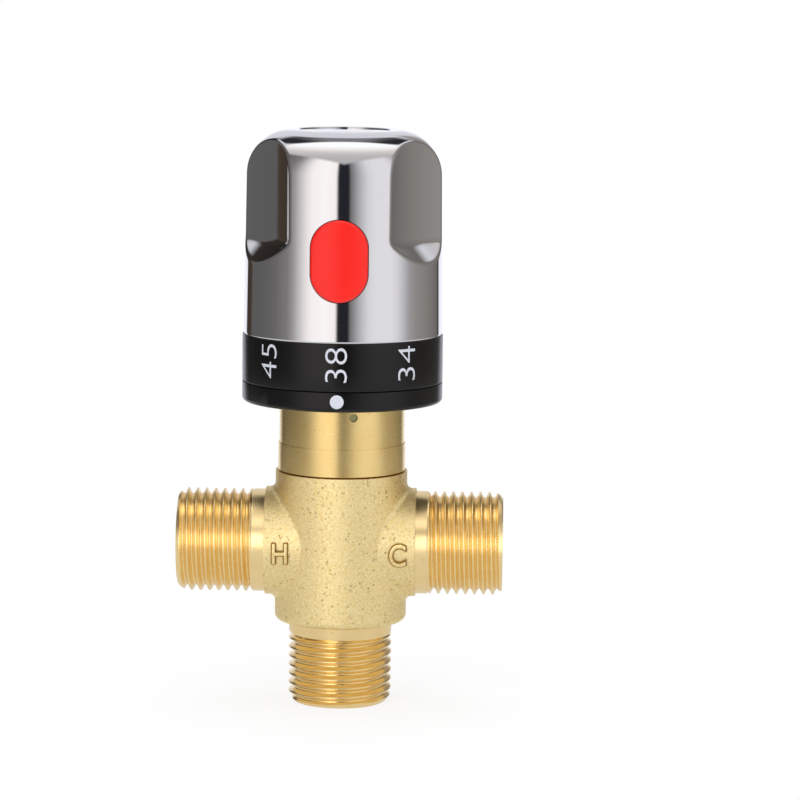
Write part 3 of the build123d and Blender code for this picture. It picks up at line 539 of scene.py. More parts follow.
# Sums that place the room, each made of the values and sums above it. X, Y and Z say where one looks
# from the valve, turned with the camera. SMOOTHSTEP rises from 0 to 1 between two values.
ROOM_SUMS = (
    ("front", "MULTIPLY", "Y", -1.0),
    ("side", "ABSOLUTE", "X"),
    ("azimuth", "ARCTAN2", "X", "front"),
    ("spread_squared", "MULTIPLY_ADD", "front", 2.0, 2.0001),
    ("spread", "SQRT", "spread_squared"),
    ("rise", "DIVIDE", "Z", "spread"),
    ("lean", "ARCSINE", "rise"),
    ("slope", "MULTIPLY", "lean", 2.0),
    ("degrees", "DEGREES", "slope"),
    ("high", "SMOOTHSTEP", "Z", *WALL_CHANGE),
    ("top", "SMOOTHSTEP", "Z", *WALL_TOP),
    ("behind", "SMOOTHSTEP", "front", BACK_EDGE[1], BACK_EDGE[0]),
    ("back_top", "MULTIPLY", "top", "behind"),
    ("ceiling_start", "MULTIPLY_ADD", "side", CEILING_RISE, CEILING_START),
    ("ceiling_full", "ADD", "ceiling_start", CEILING_SOFTNESS),
    ("overhead", "SMOOTHSTEP", "degrees", "ceiling_start", "ceiling_full"),
    ("before_back", "SMOOTHSTEP", "front", *BACK_EDGE),
    ("above", "MULTIPLY", "overhead", "before_back"),
    ("side_squared", "MULTIPLY", "side", "side"),
    ("bar_widening", "MULTIPLY", "side_squared", BAR_SPREAD),
    ("bar_start", "SUBTRACT", BAR_START, "bar_widening"),
    ("bar_full", "ADD", "bar_start", BAR_SOFTNESS),
    ("past_start", "SMOOTHSTEP", "degrees", "bar_start", "bar_full"),
    ("before_end", "SMOOTHSTEP", "degrees", BAR_END + BAR_SOFTNESS, BAR_END),
    ("before_wall", "SMOOTHSTEP", "front", *BAR_BACK),
    ("band", "MULTIPLY", "past_start", "before_end"),
    ("bar", "MULTIPLY", "band", "before_wall"),
    ("bar_ends", "SMOOTHSTEP", "side", *BAR_MIDDLE),
)


def make_studio():
    """A white room: soft boxes with a dark slit in front, grey side walls, a pale ceiling with a bar."""
    world = bpy.data.worlds.new("studio")
    scene.world = world
    world.use_nodes = True
    tree = world.node_tree
    tree.nodes.clear()
    way = add(tree, "ShaderNodeTexCoord").outputs["Generated"]
    facing = add(
        tree, "ShaderNodeMapping",
        {"Vector": way, "Rotation": (0, 0, -math.radians(CAMERA_AZIMUTH))}, vector_type="POINT",
    )
    parts = add(tree, "ShaderNodeSeparateXYZ", {0: facing.outputs[0]})
    values = {axis: parts.outputs[axis] for axis in "XYZ"}
    for name, operation, *terms in ROOM_SUMS:
        terms = [values.get(term, term) for term in terms]
        if operation == "SMOOTHSTEP":
            links = dict(zip(("Value", "From Min", "From Max"), terms))
            made = add(tree, "ShaderNodeMapRange", links, interpolation_type=operation)
        else:
            made = add(tree, "ShaderNodeMath", dict(enumerate(terms)), operation=operation)
        values[name] = made.outputs[0]
    bar_tone = add(
        tree, "ShaderNodeMix",
        {FACTOR: values["bar_ends"], FIRST: linear(BAR_MIDDLE_TONE), SECOND: linear(BAR_TONE)},
        data_type="RGBA",
    )
    layers = (
        ("high", ramp(tree, values["azimuth"], HIGH_WALLS)),
        ("back_top", linear(WALL_TOP_TONE)),
        ("above", ramp(tree, values["slope"], CEILING)),
        ("bar", bar_tone.outputs[RESULT]),
    )
    seen = ramp(tree, values["azimuth"], LOW_WALLS)
    for name, tone in layers:
        mix = add(
            tree, "ShaderNodeMix", {FACTOR: values[name], FIRST: seen, SECOND: tone}, data_type="RGBA",
        )
        seen = mix.outputs[RESULT]
    studio = add(tree, "ShaderNodeBackground", {"Color": seen, "Strength": STUDIO_STRENGTH})
    white = add(tree, "ShaderNodeBackground", {"Color": (1, 1, 1, 1), "Strength": 1.0})
    ray = add(tree, "ShaderNodeLightPath")
    shown = add(
        tree, "ShaderNodeMixShader",
        {0: ray.outputs["Is Camera Ray"], 1: studio.outputs[0], 2: white.outputs[0]},
    )
    add(tree, "ShaderNodeOutputWorld", {0: shown.outputs[0]})


FLOOR_RADIUS = 260.0
# The floor glows white, a little less within these radii in millimetres, where it keeps the shadow
FLOOR_FADE = (12.0, 65.0)
FLOOR_GLOW = 0.84
FLOOR_IN_MIRRORS = 0.75


def make_floor():
    """A round white table top that fades into the white room and keeps the soft shadow of the valve."""
    deselect()
    bpy.ops.mesh.primitive_circle_add(vertices=128, radius=FLOOR_RADIUS * MM, fill_type="NGON")
    floor = bpy.context.active_object
    floor.name = "floor"
    made, tree, shader, place = blank_material("white_table")
    shader.inputs["Base Color"].default_value = linear("#F4F4F4")
    shader.inputs["Roughness"].default_value = 0.6
    distance = add(tree, "ShaderNodeVectorMath", {0: place}, operation="LENGTH")
    fade = add(
        tree, "ShaderNodeMapRange",
        {
            "Value": distance.outputs["Value"], "From Min": FLOOR_FADE[0] * MM,
            "From Max": FLOOR_FADE[1] * MM, "To Min": FLOOR_GLOW, "To Max": 1.0,
        },
    )
    ray = add(tree, "ShaderNodeLightPath")
    strength = add(
        tree, "ShaderNodeMapRange",
        {"Value": ray.outputs["Is Camera Ray"], "To Min": FLOOR_IN_MIRRORS, "To Max": 1.0},
    )
    glow = add(tree, "ShaderNodeEmission", {"Color": (1, 1, 1, 1), "Strength": strength.outputs[0]})
    camera_or_mirror = add(
        tree, "ShaderNodeMath",
        {0: ray.outputs["Is Camera Ray"], 1: ray.outputs["Is Glossy Ray"]}, operation="ADD", use_clamp=True,
    )
    share = add(
        tree, "ShaderNodeMath", {0: fade.outputs[0], 1: camera_or_mirror.outputs[0]}, operation="MULTIPLY"
    )
    shown = add(
        tree, "ShaderNodeMixShader", {0: share.outputs[0], 1: shader.outputs[0], 2: glow.outputs[0]}
    )
    tree.links.new(shown.outputs[0], tree.nodes["Material Output"].inputs[0])
    floor.data.materials.append(made)


# Soft boxes: place, width and height in metres, and power
LAMPS = (
    ("key", (-0.35, -0.55, 0.55), (0.35, 0.35), 2.0),
    ("fill", (0.5, -0.45, 0.35), (0.35, 0.35), 1.0),
    ("top", (0.0, 0.15, 0.7), (0.45, 0.45), 1.5),
)
# Wide, low ones that only the casting or its threads see, as each is lit in the photograph
CASTING_LAMPS = (
    ("casting_lamp", (-0.12, -0.77, 0.15), (0.5, 0.42), 1.0),
    ("casting_lamp_top", (0.0, -0.45, 0.6), (1.0, 0.3), 0.6),
    ("casting_lamp_left", (-0.72, -0.22, 0.08), (0.4, 0.5), 0.35),
    ("casting_lamp_right", (0.72, -0.22, 0.08), (0.4, 0.5), 0.22),
)
THREAD_LAMPS = (
    ("thread_lamp", (0.02, -0.78, 0.15), (1.2, 0.42), 0.9),
    ("thread_lamp_left", (-0.55, -0.5, 0.05), (0.6, 0.5), 1.0),
    ("thread_lamp_right", (0.55, -0.5, 0.05), (0.6, 0.5), 1.0),
    ("thread_lamp_top", (0.0, -0.06, 0.75), (1.4, 0.2), 0.9),
)
OUTLET_LAMPS = (
    ("outlet_lamp", (-0.27, -0.74, 0.15), (0.3, 0.42), 0.6),
)


def hang_lamps(lamps, aim):
    """Hangs soft boxes that point at a height in millimetres on the valve's axis."""
    hung = []
    for name, place, size, power in lamps:
        lamp = bpy.data.objects.new(name, bpy.data.lights.new(name, "AREA"))
        scene.collection.objects.link(lamp)
        lamp.data.shape = "RECTANGLE"
        lamp.data.size, lamp.data.size_y = size
        lamp.data.energy = power
        lamp.location = place
        way = Vector((0, 0, aim * MM)) - Vector(place)
        lamp.rotation_euler = way.to_track_quat("-Z", "Y").to_euler()
        hung.append(lamp)
    return hung


def make_lamps():
    """The lamps that light the whole valve but don't show in its mirror finish."""
    for lamp in hang_lamps(LAMPS, HANDLE_TOP / 2):
        lamp.visible_glossy = False


def make_linked_lamps(group, lamps):
    """Lamps that only one group of pieces sees, and the group that such pieces join."""
    receivers = bpy.data.collections.new(group)
    for lamp in hang_lamps(lamps, INLET_AXIS):
        lamp.light_linking.receiver_collection = receivers
    return receivers


make_camera()
CASTING = make_linked_lamps("casting", CASTING_LAMPS)
INLETS = make_linked_lamps("inlet_threads", THREAD_LAMPS)
OUTLET = make_linked_lamps("outlet_threads", OUTLET_LAMPS)
make_studio()
make_floor()
make_lamps()

CHROME = chrome_plate()
BLACK = black_plastic()
INK = printed_ink()
RED = red_plastic()
CAST = cast_brass("cast_brass", "#EDCF82", "#FFF1C2")
# A darker copy of the cast brass for the letters' flanks: painted shade beside each raised letter
CAST_PAINTED_SHADE = cast_brass("cast_brass_flanks_painted_shade", "#9E7330", "#BC9248")
NECK_BRASS = turned_brass("turned_neck_brass", "Z", "#F8D388", "#FFE6A2", 0.26)
OUTLET_BRASS = turned_brass("turned_outlet_brass", "Z", "#F2D292", "#FDE3A8", 0.2)
INLET_BRASS = turned_brass("turned_inlet_brass", "X", "#F4D596", "#FFE6AE", 0.27)
PUNCHED = plain_metal("punched_brass", "#B5AE7C", 0.5)
STEEL = plain_metal("stainless_steel", "#C9CACC", 0.3)
COPPER = plain_metal("copper_alloy", "#C8845C", 0.32)
RUBBER = moulding("nitrile_rubber", "#191919", 0.7)
WHITE = moulding("white_acetal", "#E4E3DD", 0.4)


# Chrome handle: sizes of the moulding that the frame doesn't give, in millimetres

SHELL_BASE_RADIUS = RING_RADIUS - 0.2
SHELL_TOP_RADIUS = RING_RADIUS - 0.6
EDGE_RADIUS = 9.0
EDGE_HEIGHT = HANDLE_TOP - EDGE_RADIUS
CROWN_RADIUS = SHELL_TOP_RADIUS - EDGE_RADIUS
SKIRT_RADIUS = RING_RADIUS - 1.7
CAVITY_RADIUS = RING_RADIUS - 3.1
CAVITY_TOP = HANDLE_TOP - 3.0
RECESS_RADIUS = cap_high.x + 0.1
RECESS_FLOOR = HANDLE_TOP - 1.5
WELL_RADIUS = 5.0
SCREW_SEAT = 86.0
SCREW_HOLE = 2.3
SOCKET_RADIUS = 3.6
SOCKET_TOP = 84.0
HUB_RADIUS = 7.0
HUB_BASE = 74.0
SHELL_STEPS = 440
WALL_ROWS = 104
EDGE_ROWS = 46
HOLLOW_ROWS = 12
HOLLOW_EDGE_ROWS = 6
HOLLOW_STEP = 1.0
BASE_ROUND = 0.2
# Only what lies further out than the hub and the cap recess by these gaps is pressed in
HUB_CLEAR = 0.5
RECESS_CLEAR = 0.2
# A round's middle point stands off both its sides by this share of its radius
ROUND_SHARE = 0.3
# The rounded edge of the cap recess: how far out and how far down each of its points lies
RECESS_EDGE = ((0.12, 0.0), (0.03, 0.04), (0.0, 0.14))

SCOOP_COUNT = 3
SCOOP_FIRST = -30.0
SCOOP_RADIUS = 42.0
SCOOP_DEPTH = 3.6
SCOOP_CENTRE = SHELL_TOP_RADIUS - SCOOP_DEPTH + SCOOP_RADIUS
SCOOP_FLOOR = HANDLE_TOP - 21.5
SCOOP_SLOPE = math.tan(math.radians(48.0))
SCOOP_FLOOR_ROUND = 0.9
SCOOP_EDGE_ROUND = 0.36
SCOOP_WALL = 2.2

WINDOW_HALF_WIDTH = 5.75
WINDOW_HALF_HEIGHT = 8.15
WINDOW_HEIGHT = HANDLE_TOP - 24.5
WINDOW_DEPTH = 13.0


def soft_least(first, second, width):
    """The smaller of two values, rounded off where they meet."""
    near = np.clip(width - np.abs(first - second), 0, None) / width
    return np.minimum(first, second) - near * near * width / 4


def scoop_limit(angle, height, wall):
    """How far out the handle may reach at an angle in radians and a height, because of its scoops."""
    below = (SCOOP_FLOOR - wall / 2 - height) / SCOOP_SLOPE
    retreat = -soft_least(-below, np.zeros_like(below), SCOOP_FLOOR_ROUND)
    radius = SCOOP_RADIUS + wall - retreat
    limit = np.full_like(height, 1000.0)
    for i in range(SCOOP_COUNT):
        turn = angle - math.radians(SCOOP_FIRST + i * 360 / SCOOP_COUNT)
        side = SCOOP_CENTRE * np.sin(turn)
        reaches = (np.abs(side) < radius) & (np.cos(turn) > 0)
        wall_place = SCOOP_CENTRE * np.cos(turn) - np.sqrt(np.clip(radius**2 - side**2, 0, None))
        limit = np.where(reaches, np.minimum(limit, wall_place), limit)
    return limit


def handle_outline():
    """The section of the chrome handle: outside, cap recess, screw well, hub and hollow."""
    base = (SHELL_BASE_RADIUS, CHROME_BASE + BASE_ROUND)
    corner = ROUND_SHARE * BASE_ROUND
    outside = [
        (SKIRT_RADIUS, SKIRT_BASE),
        (SKIRT_RADIUS, CHROME_BASE),
        (SHELL_BASE_RADIUS - BASE_ROUND, CHROME_BASE),
        (SHELL_BASE_RADIUS - corner, CHROME_BASE + corner),
        *run(base, (SHELL_TOP_RADIUS, EDGE_HEIGHT), WALL_ROWS),
        *arc((CROWN_RADIUS, EDGE_HEIGHT), EDGE_RADIUS, 0, 90, EDGE_ROWS),
        *[(RECESS_RADIUS + out, HANDLE_TOP - down) for out, down in RECESS_EDGE],
        (RECESS_RADIUS, RECESS_FLOOR),
    ]
    core = [
        (WELL_RADIUS, RECESS_FLOOR),
        (WELL_RADIUS, SCREW_SEAT),
        (SCREW_HOLE, SCREW_SEAT),
        (SCREW_HOLE, SOCKET_TOP),
        (SOCKET_RADIUS, SOCKET_TOP),
        (SOCKET_RADIUS, HUB_BASE),
        (HUB_RADIUS, HUB_BASE),
        (HUB_RADIUS, CAVITY_TOP),
    ]
    cavity_edge = CAVITY_RADIUS - CROWN_RADIUS
    wall_top = CAVITY_TOP - cavity_edge
    hollow = [
        *arc((CROWN_RADIUS, wall_top), cavity_edge, 90, 0, HOLLOW_EDGE_ROWS),
        *run((CAVITY_RADIUS, wall_top - HOLLOW_STEP), (CAVITY_RADIUS, CHROME_BASE), HOLLOW_ROWS),
        (CAVITY_RADIUS, SKIRT_BASE),
    ]
    return [*outside, *core, *hollow]


def window_cutter():
    """An upright slot that reaches in from the front."""
    deselect()
    bpy.ops.mesh.primitive_cylinder_add(
        vertices=96, radius=WINDOW_HALF_WIDTH * MM, depth=RING_RADIUS * MM,
        location=(0, -(WINDOW_DEPTH + RING_RADIUS / 2) * MM, WINDOW_HEIGHT * MM),
        rotation=(math.pi / 2, 0, 0),
    )
    cutter = bpy.context.active_object
    bpy.ops.object.transform_apply(location=True, rotation=True, scale=True)
    spots = points_of(cutter)
    stretch = WINDOW_HALF_HEIGHT - WINDOW_HALF_WIDTH
    spots[:, 2] += np.sign(np.round(spots[:, 2] - WINDOW_HEIGHT, 4)) * stretch
    set_points(cutter, spots)
    return cutter


def make_handle():
    """The handle's moulding, turned first, then pressed in at its scoops and cut open at its window, with
    painted shade on the wall of its cap recess.
    """
    shell = turned("chrome_handle", handle_outline(), SHELL_STEPS)
    spots = points_of(shell)
    radius = np.hypot(spots[:, 0], spots[:, 1])
    angle = np.arctan2(spots[:, 1], spots[:, 0])
    outer = radius > HUB_RADIUS + HUB_CLEAR
    inner = outer & (radius < CAVITY_RADIUS + NEAR) & (spots[:, 2] < CAVITY_TOP + NEAR)
    outside = outer & ~inner & (spots[:, 2] > CHROME_BASE - NEAR)
    outside &= radius > RECESS_RADIUS + RECESS_CLEAR
    pressed = radius.copy()
    for chosen, wall in ((outside, 0.0), (inner, SCOOP_WALL)):
        limit = scoop_limit(angle[chosen], spots[chosen, 2], wall)
        pressed[chosen] = soft_least(radius[chosen], limit, SCOOP_EDGE_ROUND)
    share = pressed / radius
    spots[:, 0] *= share
    spots[:, 1] *= share
    set_points(shell, spots)
    cut(shell, window_cutter())
    smooth(shell, 30.0)
    finish_piece(shell, "handle", "chrome_plate", CHROME, "handle_shell")
    # The wall of the cap recess takes black plastic: painted shade for the dark gap round the cap
    shell.data.materials.append(BLACK)
    for polygon in shell.data.polygons:
        middle = polygon.center / MM
        on_shaded_recess_wall = abs(math.hypot(middle.x, middle.y) - RECESS_RADIUS) < 2 * NEAR
        if on_shaded_recess_wall and RECESS_FLOOR < middle.z < HANDLE_TOP - RECESS_EDGE[-1][1]:
            polygon.material_index = 1


make_handle()


# Black rings

RING_EDGE = 0.3
RING_GAP = 0.05
ROUND_STEPS = 4
PRINT_HEIGHT = 70.35
PRINT_TURN = -1.1
PRINT_SPACING = 42.6
PRINT_LIFT = 0.03
# The figures and their places round the ring, in steps of the spacing. The photo shows 45, 38 and 34.
FIGURES = ((-2.15, "50"), (-1, "45"), (0, "38"), (1, "34"), (2.2, "30"), (3.2, "25"), (4.2, "20"))
FIGURE_CAP_HEIGHT = 4.25
FIGURE_LENGTH = 6.75
FIGURE_THINNER = 0.013
FRONT = -90.0
# Words are drawn this deep per unit of size, and cut across at this step to follow a curve
WORD_DEPTH = 0.05
BEND_STEP = 0.4


def make_scale_ring():
    """The ring that carries the figures, with its two outer edges rounded."""
    inner = SKIRT_RADIUS + RING_GAP
    side = RING_RADIUS - RING_EDGE
    low, high = scale_low.z, scale_high.z
    outline = [
        (inner, low),
        *arc((side, low + RING_EDGE), RING_EDGE, -90, 0, ROUND_STEPS),
        *arc((side, high - RING_EDGE), RING_EDGE, 0, 90, ROUND_STEPS),
        (inner, high),
    ]
    ring = turned("scale_ring_moulding", outline, 192)
    finish_piece(ring, "handle", "black_plastic", BLACK, "scale_ring")


def written(name, text, thinner, bevel=0.0):
    """A word made a mesh, one metre high, with its strokes made thinner and its edges bevelled."""
    deselect()
    bpy.ops.object.text_add()
    word = bpy.context.active_object
    word.name = name
    word.data.body = text
    word.data.size = 1.0
    word.data.extrude = WORD_DEPTH
    word.data.bevel_depth = bevel
    word.data.offset = -thinner
    word.data.resolution_u = 6
    bpy.ops.object.convert(target="MESH")
    word = bpy.context.active_object
    word.name = name
    edit(word)
    bpy.ops.mesh.remove_doubles(threshold=0.01 * MM)
    bpy.ops.mesh.normals_make_consistent(inside=False)
    leave_edit()
    return word


def sized(word, width, height, depth):
    """The points of a word scaled to a width, height and depth in millimetres, centred."""
    spots = points_of(word)
    low, high = spots.min(0), spots.max(0)
    spots = (spots - (low + high) / 2) / np.maximum(high - low, 1e-9)
    return spots * np.array([width, height, depth])


def cut_across(word, height):
    """Cuts a word by level planes over its height in millimetres, so that it can follow a curve."""
    edit(word)
    place = -height / 2 + BEND_STEP
    while place < height / 2:
        bpy.ops.mesh.select_all(action="SELECT")
        bpy.ops.mesh.bisect(plane_co=(0, place * MM, 0), plane_no=(0, 1, 0), threshold=HAIR)
        place += BEND_STEP
    leave_edit()


def make_figures():
    """The temperature figures, printed round the ring and reading upwards."""
    made = []
    for place, text in FIGURES:
        word = written(f"figure_{text}", text, FIGURE_THINNER)
        spots = sized(word, FIGURE_LENGTH, FIGURE_CAP_HEIGHT, PRINT_LIFT)
        set_points(word, spots)
        cut_across(word, FIGURE_CAP_HEIGHT)
        spots = points_of(word)
        angle = np.radians(FRONT + PRINT_TURN + place * PRINT_SPACING) - spots[:, 1] / RING_RADIUS
        radius = RING_RADIUS + spots[:, 2]
        height = PRINT_HEIGHT + spots[:, 0]
        set_points(word, np.stack([radius * np.cos(angle), radius * np.sin(angle), height], 1))
        made.append(word)
    deselect()
    for word in made:
        word.select_set(True)
    bpy.context.view_layer.objects.active = made[0]
    bpy.ops.object.join()
    figures = bpy.context.active_object
    figures.name = "temperature_figures"
    finish_piece(figures, "handle", "white_plastic", INK)


DOT_RADIUS = 1.42
DOT_HEIGHT = 63.15
DOT_SINK = 0.2
DOT_RIM = 0.06
DOT_RIM_SINK = 0.05
DOT_RINGS = (0.12, 0.4, 0.4)


def make_index_dot():
    """The printed dot that the figures are set against, with its rim drawn into the ring."""
    deselect()
    bpy.ops.mesh.primitive_circle_add(vertices=48, radius=DOT_RADIUS * MM, fill_type="NGON")
    dot = bpy.context.active_object
    dot.name = "index_dot"
    edit(dot)
    for width in DOT_RINGS:
        bpy.ops.mesh.inset(thickness=width * MM)
    bpy.ops.mesh.select_all(action="SELECT")
    bpy.ops.mesh.extrude_region_move(TRANSFORM_OT_translate={"value": (0, 0, -DOT_SINK * MM)})
    bpy.ops.mesh.select_all(action="SELECT")
    bpy.ops.mesh.normals_make_consistent(inside=False)
    leave_edit()
    spots = points_of(dot)
    across = np.hypot(spots[:, 0], spots[:, 1])
    lift = np.where(across > DOT_RADIUS - DOT_RIM, -DOT_RIM_SINK, PRINT_LIFT) + spots[:, 2]
    angle = np.radians(FRONT + PRINT_TURN / 2) + spots[:, 0] / RING_RADIUS
    radius = RING_RADIUS + lift
    height = DOT_HEIGHT + spots[:, 1]
    set_points(dot, np.stack([radius * np.cos(angle), radius * np.sin(angle), height], 1))
    smooth(dot, 60.0)
    finish_piece(dot, "valve", "white_plastic", INK)


make_scale_ring()
stop_ring = merged_copy("stop_ring", "stop_ring_moulding")
finish_piece(stop_ring, "valve", "black_plastic", BLACK, "stop_ring")
make_figures()
make_index_dot()


# Button and cap

CAP_SUNK = 0.15
CAP_EDGE = 0.3
# Radii of the ring below the cap that snaps into the screw well
SNAP_RING = (3.9, 4.9)
# A turned piece starts this close to its axis, and its points there are merged
POLE = 0.0001

button = merged_copy("stop_button", "red_button", 40.0)
finish_piece(button, "stop_button", "red_plastic", RED, "stop_button")


def make_cap():
    """The round cap over the screw, a little below the handle's top."""
    top = HANDLE_TOP - CAP_SUNK
    outline = [
        (POLE, RECESS_FLOOR),
        (SNAP_RING[0], RECESS_FLOOR),
        (SNAP_RING[0], cap_low.z),
        (SNAP_RING[1], cap_low.z),
        (SNAP_RING[1], RECESS_FLOOR),
        (cap_high.x, RECESS_FLOOR),
        *arc((cap_high.x - CAP_EDGE, top - CAP_EDGE), CAP_EDGE, 0, 90, ROUND_STEPS),
        (POLE, top),
    ]
    cap = turned("chrome_cap", outline, 128)
    finish_piece(cap, "handle", "chrome_plate", CHROME, "top_cap")


make_cap()


# Neck: the sleeve's flange and the housing, with a punch mark

NECK_RADIUS = 12.5
PUNCH_RADIUS = 0.85
PUNCH_DEPTH = 0.35
PUNCH_HEIGHT = 59.0
PUNCH_TURN = 13.0
DRILL_LENGTH = 2.0


def punch_cutter():
    """A small flat-ended drill that stands at right angles to the neck."""
    turn = math.radians(FRONT + PUNCH_TURN)
    out = Vector((math.cos(turn), math.sin(turn), 0))
    deselect()
    middle = out * (NECK_RADIUS - PUNCH_DEPTH + DRILL_LENGTH / 2) * MM
    middle.z = PUNCH_HEIGHT * MM
    bpy.ops.mesh.primitive_cylinder_add(
        vertices=32, radius=PUNCH_RADIUS * MM, depth=DRILL_LENGTH * MM, location=middle,
    )
    cutter = bpy.context.active_object
    cutter.rotation_euler = out.to_track_quat("Z", "Y").to_euler()
    bpy.ops.object.transform_apply(location=True, rotation=True, scale=True)
    return cutter


def make_neck():
    """The two turned rings of the cartridge, with a punch mark in the upper one."""
    housing = merged_copy("cartridge_housing", "turned_housing")
    cut(housing, punch_cutter())
    smooth(housing)
    finish_piece(housing, "valve", "machined_brass", NECK_BRASS, "cartridge_housing")
    housing.data.materials.append(PUNCHED)
    turn = math.radians(FRONT + PUNCH_TURN)
    mark = Vector((math.cos(turn), math.sin(turn), 0)) * (NECK_RADIUS - PUNCH_DEPTH / 2)
    mark.z = PUNCH_HEIGHT
    for polygon in housing.data.polygons:
        middle = polygon.center / MM
        sunk = math.hypot(middle.x, middle.y) < NECK_RADIUS - 3 * NEAR
        if sunk and (middle - mark).length < PUNCH_RADIUS + 10 * NEAR:
            polygon.material_index = 1
    sleeve = merged_copy("cartridge_sleeve", "turned_sleeve")
    finish_piece(sleeve, "valve", "machined_brass", NECK_BRASS, "cartridge_sleeve")


make_neck()


# Valve body: the casting with its three threads cut

PITCH = 1.814
THREAD_DEPTH = 1.162
CREST_RADIUS = 10.35
ROOT_RADIUS = CREST_RADIUS - THREAD_DEPTH
CORE_RADIUS = 8.4
THREAD_BORE = 8.2
END_RADIUS = 9.4
LEAD_LENGTH = 1.5
RUN_OUT = 0.8
RUN_OUT_FADE = 0.7
RUN_OUT_SINK = 0.15
SPARE_TURNS = 3
COLLAR_RADIUS = 10.3
COLLAR_LENGTH = 2.3
BLANK_RADIUS = 14.0
THREAD_STEPS = 120
OUTLET_THREAD = 14.2
INLET_THREAD = 15.1
# Share of the pitch and of the thread's depth at each point of one tooth
TOOTH = (
    (0.0, 0.0), (0.07, 0.02), (0.12, 0.1), (0.2, 0.3), (0.3, 0.58), (0.38, 0.84), (0.43, 0.95),
    (0.5, 1.0), (0.57, 0.95), (0.62, 0.84), (0.7, 0.58), (0.8, 0.3), (0.88, 0.1), (0.93, 0.02),
)


def thread_sleeve(name, length):
    """A thread cut on a tube that stands on the origin with its lead-in at the bottom."""
    turns = math.ceil(length / PITCH) + SPARE_TURNS
    outline = [
        (ROOT_RADIUS + depth * THREAD_DEPTH, (turn - SPARE_TURNS + 1 + share) * PITCH)
        for turn in range(turns)
        for share, depth in TOOTH
    ]
    piece = draw_outline(name, outline)
    apply_modifier(
        piece, "SCREW", angle=2 * math.pi, screw_offset=PITCH * MM, steps=THREAD_STEPS,
        render_steps=THREAD_STEPS, use_smooth_shade=True,
    )
    edit(piece)
    bpy.ops.mesh.remove_doubles(threshold=2 * WELD)
    for height, upper in ((0.0, False), (length, True)):
        bpy.ops.mesh.select_all(action="SELECT")
        bpy.ops.mesh.bisect(
            plane_co=(0, 0, height * MM), plane_no=(0, 0, 1), clear_inner=not upper, clear_outer=upper,
            threshold=HAIR,
        )
    leave_edit()
    spots = points_of(piece)
    radius = np.hypot(spots[:, 0], spots[:, 1])
    lead = END_RADIUS + (CREST_RADIUS - END_RADIUS) * spots[:, 2] / LEAD_LENGTH
    fade = np.clip((spots[:, 2] - (length - RUN_OUT)) / (RUN_OUT * RUN_OUT_FADE), 0, 1)
    shaped = np.minimum(radius, lead)
    shaped += (COLLAR_RADIUS - RUN_OUT_SINK - shaped) * fade * fade * (3 - 2 * fade)
    spots[:, :2] *= (shaped / radius)[:, None]
    set_points(piece, spots)
    close_tube(piece, length)
    return piece


def select_ring(piece, height):
    """Selects the open edge at one height, in edge mode."""
    bpy.ops.object.mode_set(mode="EDIT")
    bpy.ops.mesh.select_mode(type="EDGE")
    bpy.ops.mesh.select_all(action="DESELECT")
    bpy.ops.mesh.select_non_manifold()
    bpy.ops.object.mode_set(mode="OBJECT")
    for edge in piece.data.edges:
        ends = [piece.data.vertices[i].co.z / MM for i in edge.vertices]
        if edge.select and not all(abs(end - height) < NEAR for end in ends):
            edge.select = False
    chosen = {i for edge in piece.data.edges if edge.select for i in edge.vertices}
    for vertex in piece.data.vertices:
        vertex.select = vertex.index in chosen
    bpy.ops.object.mode_set(mode="EDIT")


def close_tube(piece, length):
    """Gives a thread its end faces and its bore."""
    pick(piece)
    for height in (0.0, length):
        select_ring(piece, height)
        bpy.ops.mesh.extrude_edges_move()
        bpy.ops.object.mode_set(mode="OBJECT")
        for vertex in piece.data.vertices:
            if vertex.select:
                flat = Vector((vertex.co.x, vertex.co.y, 0)).normalized() * THREAD_BORE * MM
                vertex.co = (flat.x, flat.y, height * MM)
    bpy.ops.object.mode_set(mode="EDIT")
    bpy.ops.mesh.select_all(action="DESELECT")
    bpy.ops.mesh.select_non_manifold()
    bpy.ops.mesh.bridge_edge_loops()
    bpy.ops.mesh.select_mode(type="VERT")
    bpy.ops.mesh.select_all(action="SELECT")
    bpy.ops.mesh.normals_make_consistent(inside=False)
    leave_edit()


def tube_cutter(length, place, turn):
    """A tube that takes the plain thread blank off the casting and leaves its inner wall."""
    start = -1.0
    outline = [
        (CORE_RADIUS, start), (BLANK_RADIUS, start), (BLANK_RADIUS, length), (CORE_RADIUS, length),
    ]
    tube = turned("thread_blank", outline, 96)
    put(tube, place, turn)
    return tube


def put(piece, place, turn):
    """Turns a piece from its upright place and moves it, with the place in its mesh."""
    pick(piece)
    piece.rotation_euler = turn
    piece.location = Vector(place) * MM
    bpy.ops.object.transform_apply(location=True, rotation=True, scale=True)


# Name, then length, place and turn, finish, and the lamps' group
THREADS = (
    (
        "outlet_thread",
        (OUTLET_THREAD, (0, 0, 0), (0, 0, 0)),
        OUTLET_BRASS, OUTLET,
    ),
    (
        "hot_inlet_thread",
        (INLET_THREAD, (-INLET_REACH, 0, INLET_AXIS), (0, math.pi / 2, 0)),
        INLET_BRASS, INLETS,
    ),
    (
        "cold_inlet_thread",
        (INLET_THREAD, (INLET_REACH, 0, INLET_AXIS), (0, -math.pi / 2, 0)),
        INLET_BRASS, INLETS,
    ),
)


